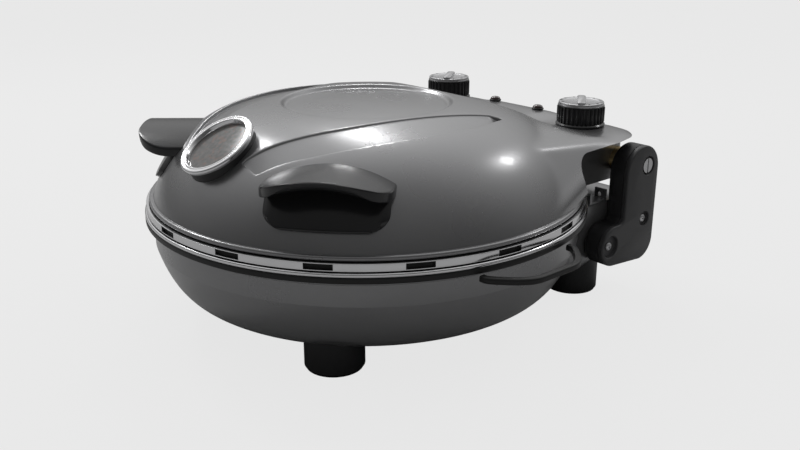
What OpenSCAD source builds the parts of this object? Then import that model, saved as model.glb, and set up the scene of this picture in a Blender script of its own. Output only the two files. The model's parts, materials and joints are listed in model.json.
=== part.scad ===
// Countertop pizza maker with a domed lid on two side arms.
// Millimetres, Z up, the front faces -Y, and the feet stand on Z = 0.

/* [Rim] */
// Radius of the black rim band, the widest round part
rim_r = 170; // [166:1:176]
// Height of the rim band
band_h = 4; // [3:0.5:6]
// Height of the chrome ring on the rim band
ring_h = 3; // [2:0.5:5]
// Gap between the closed lid and the base ring
part_gap = 0.8; // [0.5:0.1:1.5]
// Height of the chrome vent ring under the lid's edge
vent_h = 5.3; // [4:0.1:8]
// Number of vent slots
vent_count = 16; // [8:1:16]
// Angle from one vent slot to the next, in degrees
vent_step = 21.8; // [18:0.1:22]
// Width of a vent slot
vent_slot_w = 19; // [8:1:26]

/* [Base] */
// Height of the base shell above its feet
base_h = 63; // [56:1:75]
// How far the rim band stands out past the base shell's round wall
rim_step = 6; // [5:0.5:10]
// Sheet thickness of the base shell
base_wall = 1.6; // [1:0.1:2.5]
// Depth of the base shell's rounded bowl
bowl_depth = 45; // [38:1:50]
// Half width of the base's rear extension, between the arms
tail_x = 116; // [112:1:118]
// How far the rear extension reaches behind the rim band
tail_out = 18; // [12:1:22]
// Gap from the rear extension's top up to the rim band
tail_drop = 3; // [2:0.5:8]

/* [Feet] */
// Height of a foot below the shell
foot_h = 17.4; // [12:0.5:26]
// Radius of a foot
foot_r = 21.2; // [16:0.2:24]
// Sideways place of the front feet
foot_front_x = 77; // [60:1:90]
// Distance of the front feet in front of the round axis
foot_front_y = 94; // [80:1:105]
// Sideways place of the rear feet
foot_rear_x = 94; // [70:1:95]
// Distance of the rear feet behind the round axis
foot_rear_y = 141; // [130:1:152]

/* [Baking stone] */
// Gap from the baking stone, a 12 inch disc, to the base shell's round wall
stone_gap = 11.6; // [11:0.1:20]
// Thickness of the baking stone
stone_h = 8; // [5:0.5:9]

/* [Lid] */
// Rise of the dome above the lid's edge
lid_rise = 68.5; // [60:0.5:80]
// Wall of the lid shell
lid_wall = 2; // [1.5:0.1:2.5]
// How full the dome's plan curve is
dome_flat = 4.9; // [4:0.1:6]
// How full the dome's shoulder curve is
dome_fall = 1.24; // [1.1:0.02:1.5]
// Radius of the shallow round recess on top
crown_r = 65; // [50:1:68]
// Depth of the shallow round recess on top
crown_deep = 3; // [1:0.2:3.4]
// Depth of the two polished channels beside the plateau
channel_deep = 2.4; // [0.6:0.2:3]
// Half width of the hood at its shoulder line
hood_x = 126; // [122:1:128]
// How far the hood reaches behind the rim band
hood_out = 18; // [16:1:20]
// Height of the knob seats above the lid's edge
seat_rise = 37.5; // [34:0.5:43]
// Half width of the lid between the two arm bays
bay_x = 104; // [102:0.5:106]

/* [Hinge and arms] */
// Distance of the hinge axis behind the rim band
pivot_out = 9; // [7:0.5:11]
// Height of the hinge axis above the lid's edge
pivot_rise = 11.5; // [10:0.5:13]
// Radius of the steel hinge pins
pin_r = 4; // [3:0.1:5]
// Radial running clearance of the hinge pins
pin_fit = 0.06; // [0.02:0.01:0.1]
// Thickness of an arm, cover included
arm_t = 18.6; // [16:0.2:22]
// Thickness of the arm's outer cover
cover_t = 4.6; // [3:0.2:6]
// Wall of the arm's tub
arm_wall = 2.6; // [2:0.1:3.5]

/* [Window] */
// Outer radius of the window's chrome ring
window_r = 28; // [24:0.5:30]
// How far the window's centre lies inside the rim band's edge, seen from above
window_in = 37.5; // [34:0.5:44]
// Height of the ring's face above the lid's edge
window_rise = 56; // [54:0.5:58]
// Tilt of the window towards the front, in degrees
window_tilt = 33.5; // [28:0.5:38]

/* [Lid handles] */
// Angle of each handle from the front, in degrees
handle_a = 40.5; // [36:0.5:46]
// How far a handle's tongue reaches past the rim band
handle_out = 0; // [-6:1:8]
// Width of a handle
handle_w = 86; // [70:1:94]
// Height of the tongue's top above the lid's edge
handle_rise = 52; // [46:0.5:55]
// Thickness of the tongue
tongue_t = 7; // [5:0.5:9]

/* [Knobs and lamps] */
// Sideways place of the knobs
knob_x = 77.4; // [70:0.2:80]
// How far the knobs lie inside the rim band's edge, seen from above
knob_in = 8; // [6:0.5:12]
// Radius of a knob
knob_r = 19.9; // [16:0.1:20.5]
// Height of a knob
knob_h = 21; // [16:0.5:24]
// Number of grip flutes around a knob
flute_count = 24; // [12:1:30]
// Sideways place of the indicator lamps
lamp_x = 25; // [18:1:28]
// Rise of the deck's middle panel, which carries the lamps
panel_rise = 3.5; // [1:0.5:5]

/* [Carrying loops] */
// How far the carrying loops stand out from the rim band
loop_out = 23.5; // [18:0.5:30]
// Half width of a carrying loop at the rim
loop_half = 45; // [38:1:50]
// Thickness of a carrying loop's bar
loop_t = 4.5; // [4:0.5:7]

/* [Heating] */
// Radius of the heating element tube
element_r = 3.4; // [3:0.1:4]
// Radius of the lower element's ring
lower_ring_r = 100; // [80:1:108]
// Radius of the upper element's ring
upper_ring_r = 92; // [70:1:98]

/* [Hidden] */
$fn = 96;
eps = 0.05;
snug = 0.2;
base_r = rim_r - rim_step;
stone_r = base_r - stone_gap;
tail_y = rim_r + tail_out;
hood_y = rim_r + hood_out;
pivot_y = rim_r + pivot_out;
window_y = rim_r - window_in;
knob_y = rim_r - knob_in;
handle_reach = rim_r + handle_out;
base_top = foot_h + base_h;
band_top = base_top + band_h;
ring_top = band_top + ring_h;
vent_z = ring_top + part_gap;
edge_z = vent_z + vent_h;
vent_r = rim_r - 1.5;
vent_t = 2;
edge_r = rim_r - 5.7;
// The dome's curve starts a little below the lid's edge.
dome_sink = 4.9;
dome_r = edge_r + 1.3;
dome_steps = 26;
bowl_steps = 18;
pivot_z = edge_z + pivot_rise;
arm_in = tail_x + 0.4;
arm_out = arm_in + arm_t;
arm_back = pivot_y + 14;
// The part's own origin is under the middle of its box.
middle_y = (arm_back - rim_r) / 2;
seat_z = edge_z + seat_rise;
seat_clear = 0.4;
deck_front = rim_r - 32;
deck_corner = 26;
deck_low = seat_z - 9.5;
shoulder_rise = 50.5;
crown_slope_r = 80;
crown_slope_z = 61;
// Behind the crown the dome is planed off, down to the deck's front edge.
plane_fall = 0.415;
plane_step = 0.8;
knob_z = seat_z + seat_clear;
window_z = edge_z + window_rise;
window_bore = window_r - 2;
bead_r = 1.9;
liner_gap = 0.3;
liner_r = edge_r - 14.3;
liner_rise = 25;
liner_wall = 1.2;
liner_view_y = window_y - 19.5;
liner_view_r = 17;
bay_front = arm_back - 109;
bay_round = 20;
bay_floor = edge_z + 3;
bay_roof = seat_z - 3;
house_front = rim_r - 52;
house_corner = 8;
house_floor = vent_z + 0.8;
foot_places = [[-foot_front_x, -foot_front_y], [foot_front_x, -foot_front_y],
               [-foot_rear_x, foot_rear_y], [foot_rear_x, foot_rear_y]];
pad_h = 2;
foot_wall = 3.4;
foot_floor = 13;
foot_screw_r = 2;
tray_r = stone_r + 1;
tray_ledge_z = base_top - 4.4;
tray_sheet = 1.5;
stone_z = tray_ledge_z + tray_sheet;
dish_z = base_top - 8;
dish_deep = 22;
dish_r = base_r - 18;
dish_sheet = 1.2;
lower_element_z = dish_z - dish_deep + 13;
clip_angles = [30, 150, 270];
element_gap = 30;
lower_leg = 24;
upper_leg = 20;
clip_w = 8;
clip_len = 14;
// Each end of a heating tube is set in a slightly thicker upright terminal.
terminal_r = element_r + 0.5;
insulator_r = terminal_r + 2;
liner_top = edge_z + liner_rise;
upper_element_z = liner_top - liner_wall - 9;
tail_edge = 18;
tail_front = base_r - 80;
tail_corner = 12;
heel_in = 26;
heel_rise = 22;
hatch_r = 68;
hatch_t = 1.2;
hatch_screws = 4;
// Radii of an arm's rounded ends, and where they lie from its back and the lid's edge.
arm_top_r = 20.2;
arm_heel_r = 17;
arm_toe_r = 16.6;
arm_nook_r = 6;
arm_top_rise = 28.6;
arm_drop = 67.8;
toe_lift = 3;
toe_reach = 67.4;
toe_screw_in = 56.5;
toe_screw_drop = 47.5;
heel_screw_in = 13.6;
heel_screw_drop = 33;
arm_screws_yz = [[arm_back - toe_screw_in, edge_z - toe_screw_drop],
                 [arm_back - heel_screw_in, edge_z - heel_screw_drop]];
toe_recess_r = 9;
heel_recess_r = 6;
recess_deep = 2.7;
arm_screw_r = 1.8;
boss_r = 8;
lamp_r = 4.1;
lamp_y = knob_y + 8;
lamp_z = seat_z + panel_rise;
panel_top_x = lamp_x + lamp_r + 5;
panel_slope = 20;
body_box = 34;
body_h = 24;
shaft_r = 3;
shaft_fit = 0.06;
neck_r = shaft_r + 1.4;
socket_deep = 9;
glass_t = 4;
bezel_t = 3.5;
drum_deep = 21;
window_lip = 3.6;
tongue_len = 73;
tongue_corner = 27;
tongue_drop = 11.5;
bow_r = (pow(handle_w / 2 + 2, 2) + pow(tongue_drop, 2)) / (2 * tongue_drop);
plate_t = 3.4;
plate_rise = 16;
plate_h = 32;
plate_corner = 13;
handle_screw_x = 26;
handle_screw_rise = 30;
bracket_in = 62;
bracket_w = 21;
bracket_t = 1.6;
gland_r = 7;
gland_z = base_top - 30;
gland_out = arm_back - tail_y;

// Moves a piece from the round axis to the part's own origin.
module placed() translate([0, -middle_y, 0]) children();

// Draws a piece on the right and its mirror image on the left.
module both_sides() {
    children();
    mirror([1, 0, 0]) children();
}

// A ring with a rectangular section.
module ring(r_out, r_in, h) {
    difference() {
        cylinder(r = r_out, h = h);
        translate([0, 0, -1]) cylinder(r = r_in, h = h + 2);
    }
}

// A block with rounded vertical edges, centred on X and Y.
module rounded_block(w, d, h, r) {
    translate([-w / 2 + r, -d / 2, 0]) cube([w - 2 * r, d, h]);
    translate([-w / 2, -d / 2 + r, 0]) cube([w, d - 2 * r, h]);
    for (sx = [-1, 1], sy = [-1, 1])
        translate([sx * (w / 2 - r), sy * (d / 2 - r), 0]) cylinder(r = r, h = h, $fn = 48);
}

// Draws a side outline, given as [y, z], as a plate from x1 to x2.
module side_plate(x1, x2) {
    translate([x1, 0, 0]) rotate([90, 0, 90]) linear_extrude(x2 - x1) children();
}

// A pan-head screw that hangs under z = 0 with its shank upwards.
module screw_up(head_r, head_h, shank_r, shank_h) {
    difference() {
        translate([0, 0, -head_h]) cylinder(r = head_r, h = head_h, $fn = 32);
        translate([-head_r, -0.5, -head_h - 1]) cube([2 * head_r, 1, 1.8]);
    }
    cylinder(r = shank_r, h = shank_h, $fn = 32);
}

// Half outline of the dome, from its top down to the lid's edge.
function dome_point(a, inset) =
    [(dome_r - inset) * pow(sin(a), 2 / dome_flat),
     edge_z - dome_sink + (lid_rise + dome_sink - inset) * pow(cos(a), 2 / dome_fall)];

function dome_end(inset) =
    acos(pow(dome_sink / (lid_rise + dome_sink - inset), dome_fall / 2));

// Solid dome, drawn inset from the outer skin, with a plug below the lid's edge.
module dome_solid(inset, drop) {
    last = dome_end(inset);
    wall = [for (i = [0:dome_steps]) dome_point(last * i / dome_steps, inset)];
    low_r = wall[dome_steps][0];
    difference() {
        rotate_extrude($fn = 120)
            polygon(concat(wall, [[low_r, edge_z - drop], [0, edge_z - drop]]));
        rear_plane(inset);
    }
}

// The space above the plane behind the crown, lowered by the inset.
module rear_plane(inset) {
    low = seat_z + plane_step - inset * sqrt(1 + pow(plane_fall, 2));
    side_plate(-rim_r, rim_r) polygon([
        [deck_front + 40, low - 40 * plane_fall], [deck_front + 40, low + rim_r],
        [0, low + rim_r], [0, low + deck_front * plane_fall]]);
}

// Solid hood: it slopes from the dome's top to a flat deck between the arms.
module hood_solid(inset, drop) {
    deck_z = seat_z - inset;
    wing_x = hood_x - inset;
    hull() {
        translate([0, 0, edge_z + crown_slope_z - inset]) cylinder(r = crown_slope_r - inset, h = 0.6, $fn = 40);
        hood_rim(inset, drop);
        both_sides() {
            translate([wing_x - 1, 0, edge_z + shoulder_rise - inset]) cylinder(r = 1, h = 0.5, $fn = 8);
            translate([wing_x - 1, deck_front, deck_z - 1]) cylinder(r = 1, h = 1, $fn = 8);
        }
    }
    hull() {
        hood_rim(inset, drop);
        both_sides() {
            translate([wing_x - 1, deck_front - 2, deck_z - 1]) cylinder(r = 1, h = 1, $fn = 8);
            translate([wing_x + inset - deck_corner, hood_y - deck_corner, deck_low])
                cylinder(r = deck_corner - inset, h = deck_z - deck_low, $fn = 32);
        }
    }
}

// Raised middle of the deck between the knobs, which carries the lamps.
module deck_panel(inset) {
    hull() both_sides() {
        for (y = [deck_front - 14, hood_y - 12])
            translate([panel_top_x, y, lamp_z - 1 - inset]) cylinder(r = 1, h = 1, $fn = 8);
        for (y = [deck_front - 14, hood_y - 4])
            translate([panel_top_x + panel_slope, y, seat_z - 2 - inset]) cylinder(r = 1, h = 1, $fn = 8);
    }
}

// The hood's foot on the round rim.
module hood_rim(inset, drop) {
    translate([0, 0, edge_z - drop]) cylinder(r = edge_r - inset - 0.8, h = 2, $fn = 64);
}

// Housing under the hood's rear, which runs down behind the rim.
module house_solid(inset, drop) {
    half = bay_x - inset;
    low = house_floor - drop;
    difference() {
        translate([0, (house_front + hood_y) / 2, low])
            rounded_block(2 * half, hood_y - house_front - 2 * inset, bay_roof - low, house_corner);
        translate([0, 0, low - 1])
            cylinder(r = vent_r + 0.8 + inset, h = edge_z + inset - low + 1, $fn = 120);
    }
}

// The two bays beside the hinge, grown by g.
module bays(g) {
    both_sides() side_plate(bay_x - g, bay_x + 90) {
        translate([bay_front + bay_round, bay_roof - bay_round])
            circle(r = bay_round + g, $fn = 64);
        polygon([[bay_front - g, bay_roof - bay_round], [bay_front + 11 - g, bay_floor - g],
                 [arm_back + 60, bay_floor - g], [arm_back + 60, bay_roof + g],
                 [bay_front + bay_round, bay_roof + g], [bay_front + bay_round, bay_roof - bay_round]]);
    }
}

// The shallow round recess on top, grown by g.
module crown_cut(g) {
    translate([0, 0, edge_z + lid_rise - crown_deep - g]) cylinder(r = crown_r + g, h = 60);
}

// Plan outline of the polished channel on the right of the plateau, grown by g.
module channel_outline(g) {
    polygon([[30 - g, -128 - g], [38 - g, -112], [48 - g, -93], [58 - g, -69], [64 - g, -47],
             [68 - g, -27], [73 - g, -5], [80 - g, 18], [88 - g, 42 + g], [94 + g, 47 + g],
             [100 + g, 22], [102 + g, 0], [99 + g, -27], [93 + g, -50], [85 + g, -71],
             [71 + g, -97], [58 + g, -112], [45 + g, -128 - g]]);
}

// The polished channels lie at an even depth below the dome's skin, grown by g.
module channels(g) {
    difference() {
        both_sides() translate([0, 0, edge_z + 20]) linear_extrude(lid_rise) channel_outline(g);
        dome_solid(channel_deep + g, 0);
    }
}

// Turns and lifts a piece into the window's own frame: Z is the window's axis.
module at_window() {
    translate([0, -window_y, window_z]) rotate([window_tilt, 0, 0]) children();
}

// Turns a piece to a lid handle's direction: -Y points out along the handle.
module at_handle(side) rotate([0, 0, side * handle_a]) children();

module handle_holes(r, side) {
    at_handle(side) for (s = [-1, 1])
        translate([s * handle_screw_x, 46 - dome_r, edge_z + handle_screw_rise]) rotate([90, 0, 0])
            cylinder(r = r, h = 44, $fn = 32);
}

module lid_shell() {
    color("dimgray") difference() {
        difference() {
            union() {
                dome_solid(0, 0);
                hood_solid(0, 0);
                deck_panel(0);
                house_solid(0, 0);
                translate([0, 0, edge_z]) lid_bead();
            }
            bays(0);
            crown_cut(0);
            channels(0);
        }
        difference() {
            union() {
                dome_solid(lid_wall, 4);
                hood_solid(lid_wall, 4);
                deck_panel(lid_wall);
                house_solid(lid_wall, 6);
            }
            bays(lid_wall);
            crown_cut(lid_wall);
            channels(lid_wall);
        }
        at_window() translate([0, 0, -40]) cylinder(r = window_bore + snug, h = 60);
        both_sides() translate([knob_x, knob_y, seat_z - 10]) cylinder(r = neck_r + 0.1, h = 20, $fn = 48);
        lamp_holes();
        both_sides() translate([bay_x - 10, pivot_y, pivot_z]) rotate([0, 90, 0])
            cylinder(r = boss_r + eps, h = 20);
        for (side = [-1, 1]) handle_holes(1.8, side);
    }
}

// Rolled bead around the lid's edge.
module lid_bead() {
    out_r = edge_r + bead_r;
    bevel = bead_r / 2;
    rotate_extrude($fn = 120) polygon([
        [edge_r - bead_r, 0], [out_r - bevel, 0], [out_r, bevel],
        [out_r, 2 * bead_r - bevel], [out_r - bevel, 2 * bead_r], [edge_r - bead_r, 2 * bead_r]]);
}

module lamp_holes() {
    for (s = [-1, 1])
        translate([s * lamp_x, lamp_y, lamp_z - 12]) cylinder(r = lamp_r, h = 30, $fn = 48);
}

module lid_liner() {
    flange_r = edge_r - lid_wall - 0.6;
    color("silver") difference() {
        difference() {
            union() {
                translate([0, 0, edge_z + liner_gap]) cylinder(r = flange_r, h = liner_wall);
                translate([0, 0, edge_z + liner_gap]) cylinder(r1 = liner_r, r2 = liner_r - 10, h = liner_rise);
            }
            bays(lid_wall + 0.4);
        }
        difference() {
            translate([0, 0, edge_z + liner_gap - 1])
                cylinder(r1 = liner_r - liner_wall + 0.4, r2 = liner_r - 10 - liner_wall, h = liner_rise + 1 - liner_wall);
            bays(lid_wall + 0.4 + liner_wall);
        }
        element_ends(upper_ring_r) translate([0, 0, edge_z])
            cylinder(r = insulator_r + snug, h = 60, $fn = 48);
        translate([0, -liner_view_y, edge_z]) cylinder(r = liner_view_r, h = 60);
    }
}

// Heating tube: an open ring with two upright terminals that go down through the sheet.
module element(ring_r, leg) {
    gap_a = asin(element_gap / 2 / ring_r);
    color("darkslategray") {
        rotate([0, 0, 90 + gap_a]) rotate_extrude(angle = 360 - 2 * gap_a, $fn = 180)
            translate([ring_r, 0]) circle(r = element_r, $fn = 48);
        element_ends(ring_r) translate([0, 0, -leg])
            cylinder(r = terminal_r, h = leg + terminal_r, $fn = 48);
    }
}

// Clips that hold the heating tube off the sheet.
module clips(ring_r, from_z, tube_z) {
    up = tube_z > from_z;
    color("lightgray") for (a = clip_angles) rotate([0, 0, a]) difference() {
        translate([ring_r - clip_len / 2, -clip_w / 2, up ? from_z : tube_z - 1])
            cube([clip_len, clip_w, abs(tube_z - from_z) + 1]);
        translate([ring_r, 0, tube_z]) rotate([90, 0, 0])
            cylinder(r = element_r + 0.15, h = 20, center = true, $fn = 48);
        translate([ring_r - element_r - 0.15, -clip_w, up ? tube_z : tube_z - 20])
            cube([2 * element_r + 0.3, 2 * clip_w, 20]);
    }
}

module insulators(ring_r, z, h) {
    color("white") element_ends(ring_r) translate([0, 0, z])
        ring(insulator_r, terminal_r + 0.1, h);
}

// Puts a piece at both ends of a heating tube's ring.
module element_ends(ring_r) {
    for (s = [-1, 1])
        translate([s * element_gap / 2, sqrt(pow(ring_r, 2) - pow(element_gap / 2, 2)), 0]) children();
}

module upper_element() translate([0, 0, upper_element_z]) mirror([0, 0, 1]) element(upper_ring_r, upper_leg);
module upper_clips() clips(upper_ring_r, liner_top + liner_gap - liner_wall, upper_element_z);
module upper_insulators() insulators(upper_ring_r, liner_top - 4, 8);

module vent_ring() {
    color("gainsboro") difference() {
        translate([0, 0, vent_z]) ring(vent_r, vent_r - vent_t, vent_h - 0.02);
        vent_slots(vent_slot_w, vent_h - 1.2);
    }
}

module vent_slots(w, h) {
    first = -3.5 - vent_step * (ceil(vent_count / 2) - 1);
    for (i = [0:vent_count - 1]) rotate([0, 0, first + i * vent_step])
        translate([-w / 2, -vent_r - 5, vent_z + (vent_h - h) / 2]) cube([w, 12, h]);
}

module vent_gasket() {
    color("black") translate([0, 0, vent_z])
        ring(vent_r - vent_t - 0.1, edge_r - 3, vent_h - 0.02);
}

module window_bezel() {
    color("gainsboro") at_window() difference() {
        translate([0, 0, -bezel_t]) cylinder(r = window_r, h = bezel_t);
        translate([0, 0, -10]) cylinder(r = window_bore - window_lip, h = 20);
        translate([0, 0, -1.4]) cylinder(r1 = window_bore - window_lip, r2 = window_bore - 1.6, h = 1.5);
    }
}

module window_drum() {
    color("black") at_window() difference() {
        translate([0, 0, -drum_deep]) cylinder(r = window_bore, h = drum_deep - bezel_t);
        translate([0, 0, -2 * drum_deep]) cylinder(r = window_bore - window_lip, h = 3 * drum_deep);
        translate([0, 0, -bezel_t - glass_t]) cylinder(r = window_bore - window_lip / 2, h = 10);
    }
}

module window_glass() {
    color("slategray", 0.4) at_window() translate([0, 0, -bezel_t - glass_t])
        cylinder(r = window_bore - window_lip / 2 - snug, h = glass_t);
}

// Second pane, over the view hole in the liner.
module liner_glass() {
    color("slategray", 0.4) translate([0, -liner_view_y, liner_top + liner_gap])
        cylinder(r = liner_view_r + 3, h = 3);
}

module window_nut() {
    color("silver") at_window() translate([0, 0, 0.5 - drum_deep]) difference() {
        cylinder(r = window_bore + 4, h = 3);
        translate([0, 0, -1]) cylinder(r = window_bore + eps, h = 5);
    }
}

// Arched band seen along the handle: it is highest in the middle.
module arched_band() {
    half = handle_w / 2 + 2;
    difference() {
        translate([0, -bow_r]) circle(r = bow_r, $fn = 180);
        translate([0, -bow_r - tongue_t]) circle(r = bow_r, $fn = 180);
        translate([-bow_r - 1, -2 * bow_r - tongue_t]) square([2 * bow_r + 2, 2 * bow_r - 2 * tongue_drop]);
        for (s = [0, 1]) mirror([s, 0]) translate([half, -bow_r]) square([bow_r, 2 * bow_r]);
    }
}

// Plan outline of a tongue: straight sides and large round corners.
module tongue_outline() {
    inner = handle_w / 2 - tongue_corner;
    translate([-handle_w / 2, tongue_corner - handle_reach]) square([handle_w, tongue_len]);
    translate([-inner, -handle_reach]) square([2 * inner, tongue_len]);
    for (s = [-1, 1]) translate([s * inner, tongue_corner - handle_reach]) circle(r = tongue_corner, $fn = 64);
}

module lid_handle(side) {
    color("black") difference() {
        at_handle(side) {
            intersection() {
                translate([0, tongue_len - handle_reach, edge_z + handle_rise]) rotate([90, 0, 0])
                    linear_extrude(tongue_len + 4) arched_band();
                linear_extrude(edge_z + lid_rise) tongue_outline();
            }
            intersection() {
                rotate([90, 0, 0]) translate([0, edge_z + plate_rise + plate_h / 2 + 4, dome_r - 56])
                    rounded_block(handle_w - 4, plate_h + 8, 72, plate_corner);
                rotate([0, 0, -side * handle_a]) dome_solid(-plate_t, 0);
                translate([0, 0, edge_z + handle_rise - bow_r]) rotate([90, 0, 0])
                    cylinder(r = bow_r - 1, h = 2 * rim_r);
            }
        }
        dome_solid(-0.12, 1);
        handle_holes(1.9, side);
    }
}

module handle_screws() {
    color("silver") for (side = [-1, 1]) at_handle(side) for (s = [-1, 1])
        handle_screw(s * handle_screw_x);
}

// A screw from inside the lid into a handle's plate.
module handle_screw(x) {
    z = edge_z + handle_screw_rise;
    skin_r = sqrt(max(1, dome_skin_r(z - edge_z) - x * x));
    translate([x, -skin_r + lid_wall + 4, z]) rotate([90, 0, 0]) {
        cylinder(r = 1.75, h = 7.8, $fn = 32);
        translate([0, 0, -2.2]) cylinder(r = 3.4, h = 2.2, $fn = 32);
    }
}

// Squared radius of the dome's skin at a height above the lid's edge.
function dome_skin_r(h) =
    pow(dome_r * pow(1 - pow((h + dome_sink) / (lid_rise + dome_sink), dome_fall), 1 / dome_flat), 2);

module housing_cover() {
    color("black") difference() {
        translate([0, (house_front + hood_y) / 2, house_floor])
            rounded_block(2 * (bay_x - lid_wall - snug), hood_y - house_front - 2 * lid_wall - 2 * snug,
                          1.6, house_corner);
        translate([0, 0, 0]) cylinder(r = vent_r + 0.8 + lid_wall + snug, h = 200, $fn = 120);
    }
}

module hinge_bush() {
    color("gold") translate([bay_x - 6, pivot_y, pivot_z]) rotate([0, 90, 0]) difference() {
        union() {
            cylinder(r = boss_r, h = 6 + 4);
            translate([0, 0, 6 + eps]) cylinder(r = boss_r + 2, h = arm_in - bay_x - 0.4);
        }
        translate([0, 0, -1]) cylinder(r = pin_r + pin_fit, h = 40);
    }
}

module hinge_pin() {
    color("silver") translate([bay_x - 5, pivot_y, pivot_z]) rotate([0, 90, 0]) {
        cylinder(r = pin_r, h = arm_out - bay_x + 5 - 2.2);
        translate([0, 0, arm_out - bay_x + 5 - 2.6]) difference() {
            cylinder(r = pin_r + 2, h = 2);
            translate([-8, -0.7, 1]) cube([16, 1.4, 2]);
        }
    }
}

// Side outline of an arm, as [y, z], drawn inset by g.
module arm_outline(g) {
    leg_front = arm_back - 2 * arm_top_r;
    top_z = edge_z + arm_top_rise - arm_top_r;
    low_z = edge_z - arm_drop;
    heel = [arm_back - arm_heel_r, low_z + arm_heel_r];
    toe = [arm_back - toe_reach + arm_toe_r, low_z + toe_lift + arm_toe_r];
    toe_top = toe[1] + arm_toe_r - g;
    nook = [leg_front + g - arm_nook_r, toe_top + arm_nook_r];
    translate([arm_back - arm_top_r, top_z]) circle(r = arm_top_r - g);
    translate([leg_front + g, heel[1]]) square([2 * arm_top_r - 2 * g, top_z - heel[1]]);
    translate(heel) circle(r = arm_heel_r - g);
    translate(toe) circle(r = arm_toe_r - g);
    polygon([[toe[0], toe[1] - arm_toe_r + g], [heel[0], low_z + g], [heel[0], toe_top], [toe[0], toe_top]]);
    difference() {
        translate([nook[0], toe_top - 1]) square(arm_nook_r + 1);
        translate(nook) circle(r = arm_nook_r, $fn = 48);
    }
}

module arm_tub() {
    tub_out = arm_out - cover_t;
    color("black") difference() {
        union() {
            difference() {
                side_plate(arm_in, tub_out) arm_outline(0);
                side_plate(arm_in + arm_wall, tub_out + 1) arm_outline(arm_wall);
            }
            intersection() {
                side_plate(arm_in, tub_out) arm_outline(0);
                translate([arm_in, pivot_y, pivot_z]) rotate([0, 90, 0]) cylinder(r = boss_r, h = tub_out - arm_in);
            }
            for (p = arm_screws_yz) translate([arm_in, p[0], p[1]]) rotate([0, 90, 0])
                cylinder(r = 5, h = tub_out - arm_in, $fn = 48);
        }
        translate([arm_in - 1, pivot_y, pivot_z]) rotate([0, 90, 0]) cylinder(r = pin_r + 0.02, h = 40);
        for (p = arm_screws_yz) translate([arm_in - 1, p[0], p[1]]) rotate([0, 90, 0])
            cylinder(r = arm_screw_r + 0.02, h = 40, $fn = 48);
    }
}

module arm_cover() {
    from_x = arm_out - cover_t + eps;
    color("darkslategray") difference() {
        union() {
            side_plate(from_x, arm_out - 1.2) arm_outline(0);
            side_plate(arm_out - 1.3, arm_out) arm_outline(0.9);
        }
        translate([0, pivot_y, pivot_z]) rotate([0, 90, 0]) {
            cylinder(r = pin_r + 0.02, h = 2 * arm_out);
            translate([0, 0, arm_out - recess_deep]) cylinder(r = pin_r + 3.6, h = 20);
        }
        for (i = [0, 1]) translate([0, arm_screws_yz[i][0], arm_screws_yz[i][1]]) rotate([0, 90, 0]) {
            cylinder(r = arm_screw_r + 0.02, h = 2 * arm_out, $fn = 48);
            translate([0, 0, arm_out - recess_deep]) cylinder(r = i == 0 ? toe_recess_r : heel_recess_r, h = 20);
        }
    }
}

module arm_screws() {
    head_h = 1.9;
    color("silver") both_sides() for (p = arm_screws_yz)
        translate([arm_out - recess_deep + eps, p[0], p[1]]) rotate([0, -90, 0])
            screw_up(3.4, head_h, arm_screw_r, arm_t - recess_deep + 2);
}

// Steel bracket that joins the arm to the base beside the rim.
module hinge_bracket() {
    y1 = arm_back - bracket_in;
    y2 = y1 + bracket_w;
    top_z = base_top - tail_drop + 4;
    color("silver") difference() {
        union() {
            translate([bay_x + 0.4, y1, base_top - tail_drop])
                cube([arm_in - bay_x - 0.6, bracket_w, bracket_t]);
            for (y = [y1, y2 - bracket_t]) translate([bay_x + 1.4, y, base_top - tail_drop])
                cube([arm_in - bay_x - 1.6, bracket_t, 9]);
        }
        translate([0, 0, base_top - eps]) cylinder(r = rim_r + snug, h = 30, $fn = 120);
        translate([bay_x + 6, y1 - 5, top_z]) rotate([-90, 0, 0]) cylinder(r = 2, h = 60, $fn = 32);
    }
}

// Solid bowl of the base, drawn inset from its outer skin.
module bowl_solid(inset, rise) {
    a_max = base_r - inset;
    d_max = bowl_depth - inset;
    shoulder = foot_h + bowl_depth;
    wall = [for (i = [0:bowl_steps]) let (a = 90 * i / bowl_steps)
        [a_max * pow(sin(a), 0.16), shoulder - d_max * pow(cos(a), 1.96)]];
    rotate_extrude($fn = 120) polygon(concat(wall, [[a_max, base_top + rise], [0, base_top + rise]]));
}

// Solid rear extension of the base: its lower edges are rounded, and its heel rises.
module tail_solid(inset) {
    half = tail_x - inset;
    top = base_top - tail_drop - inset;
    low = foot_h + inset;
    back = tail_y - inset;
    side_r = tail_edge - inset;
    intersection() {
        side_plate(-half, half)
            polygon([[tail_front, low], [back - heel_in, low], [back - 0.3 * heel_in, low + 0.4 * heel_rise],
                     [back, low + heel_rise], [back, top], [tail_front, top]]);
        translate([0, back - 80, 0]) rounded_block(2 * half, 160, base_top, tail_corner);
        translate([0, back, 0]) rotate([90, 0, 0]) linear_extrude(back - tail_front) {
            translate([-half, low + side_r]) square([2 * half, top - low - side_r]);
            translate([-half + side_r, low]) square([2 * half - 2 * side_r, top - low]);
            for (s = [-1, 1]) translate([s * (half - side_r), low + side_r]) circle(r = side_r, $fn = 64);
        }
    }
}

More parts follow.
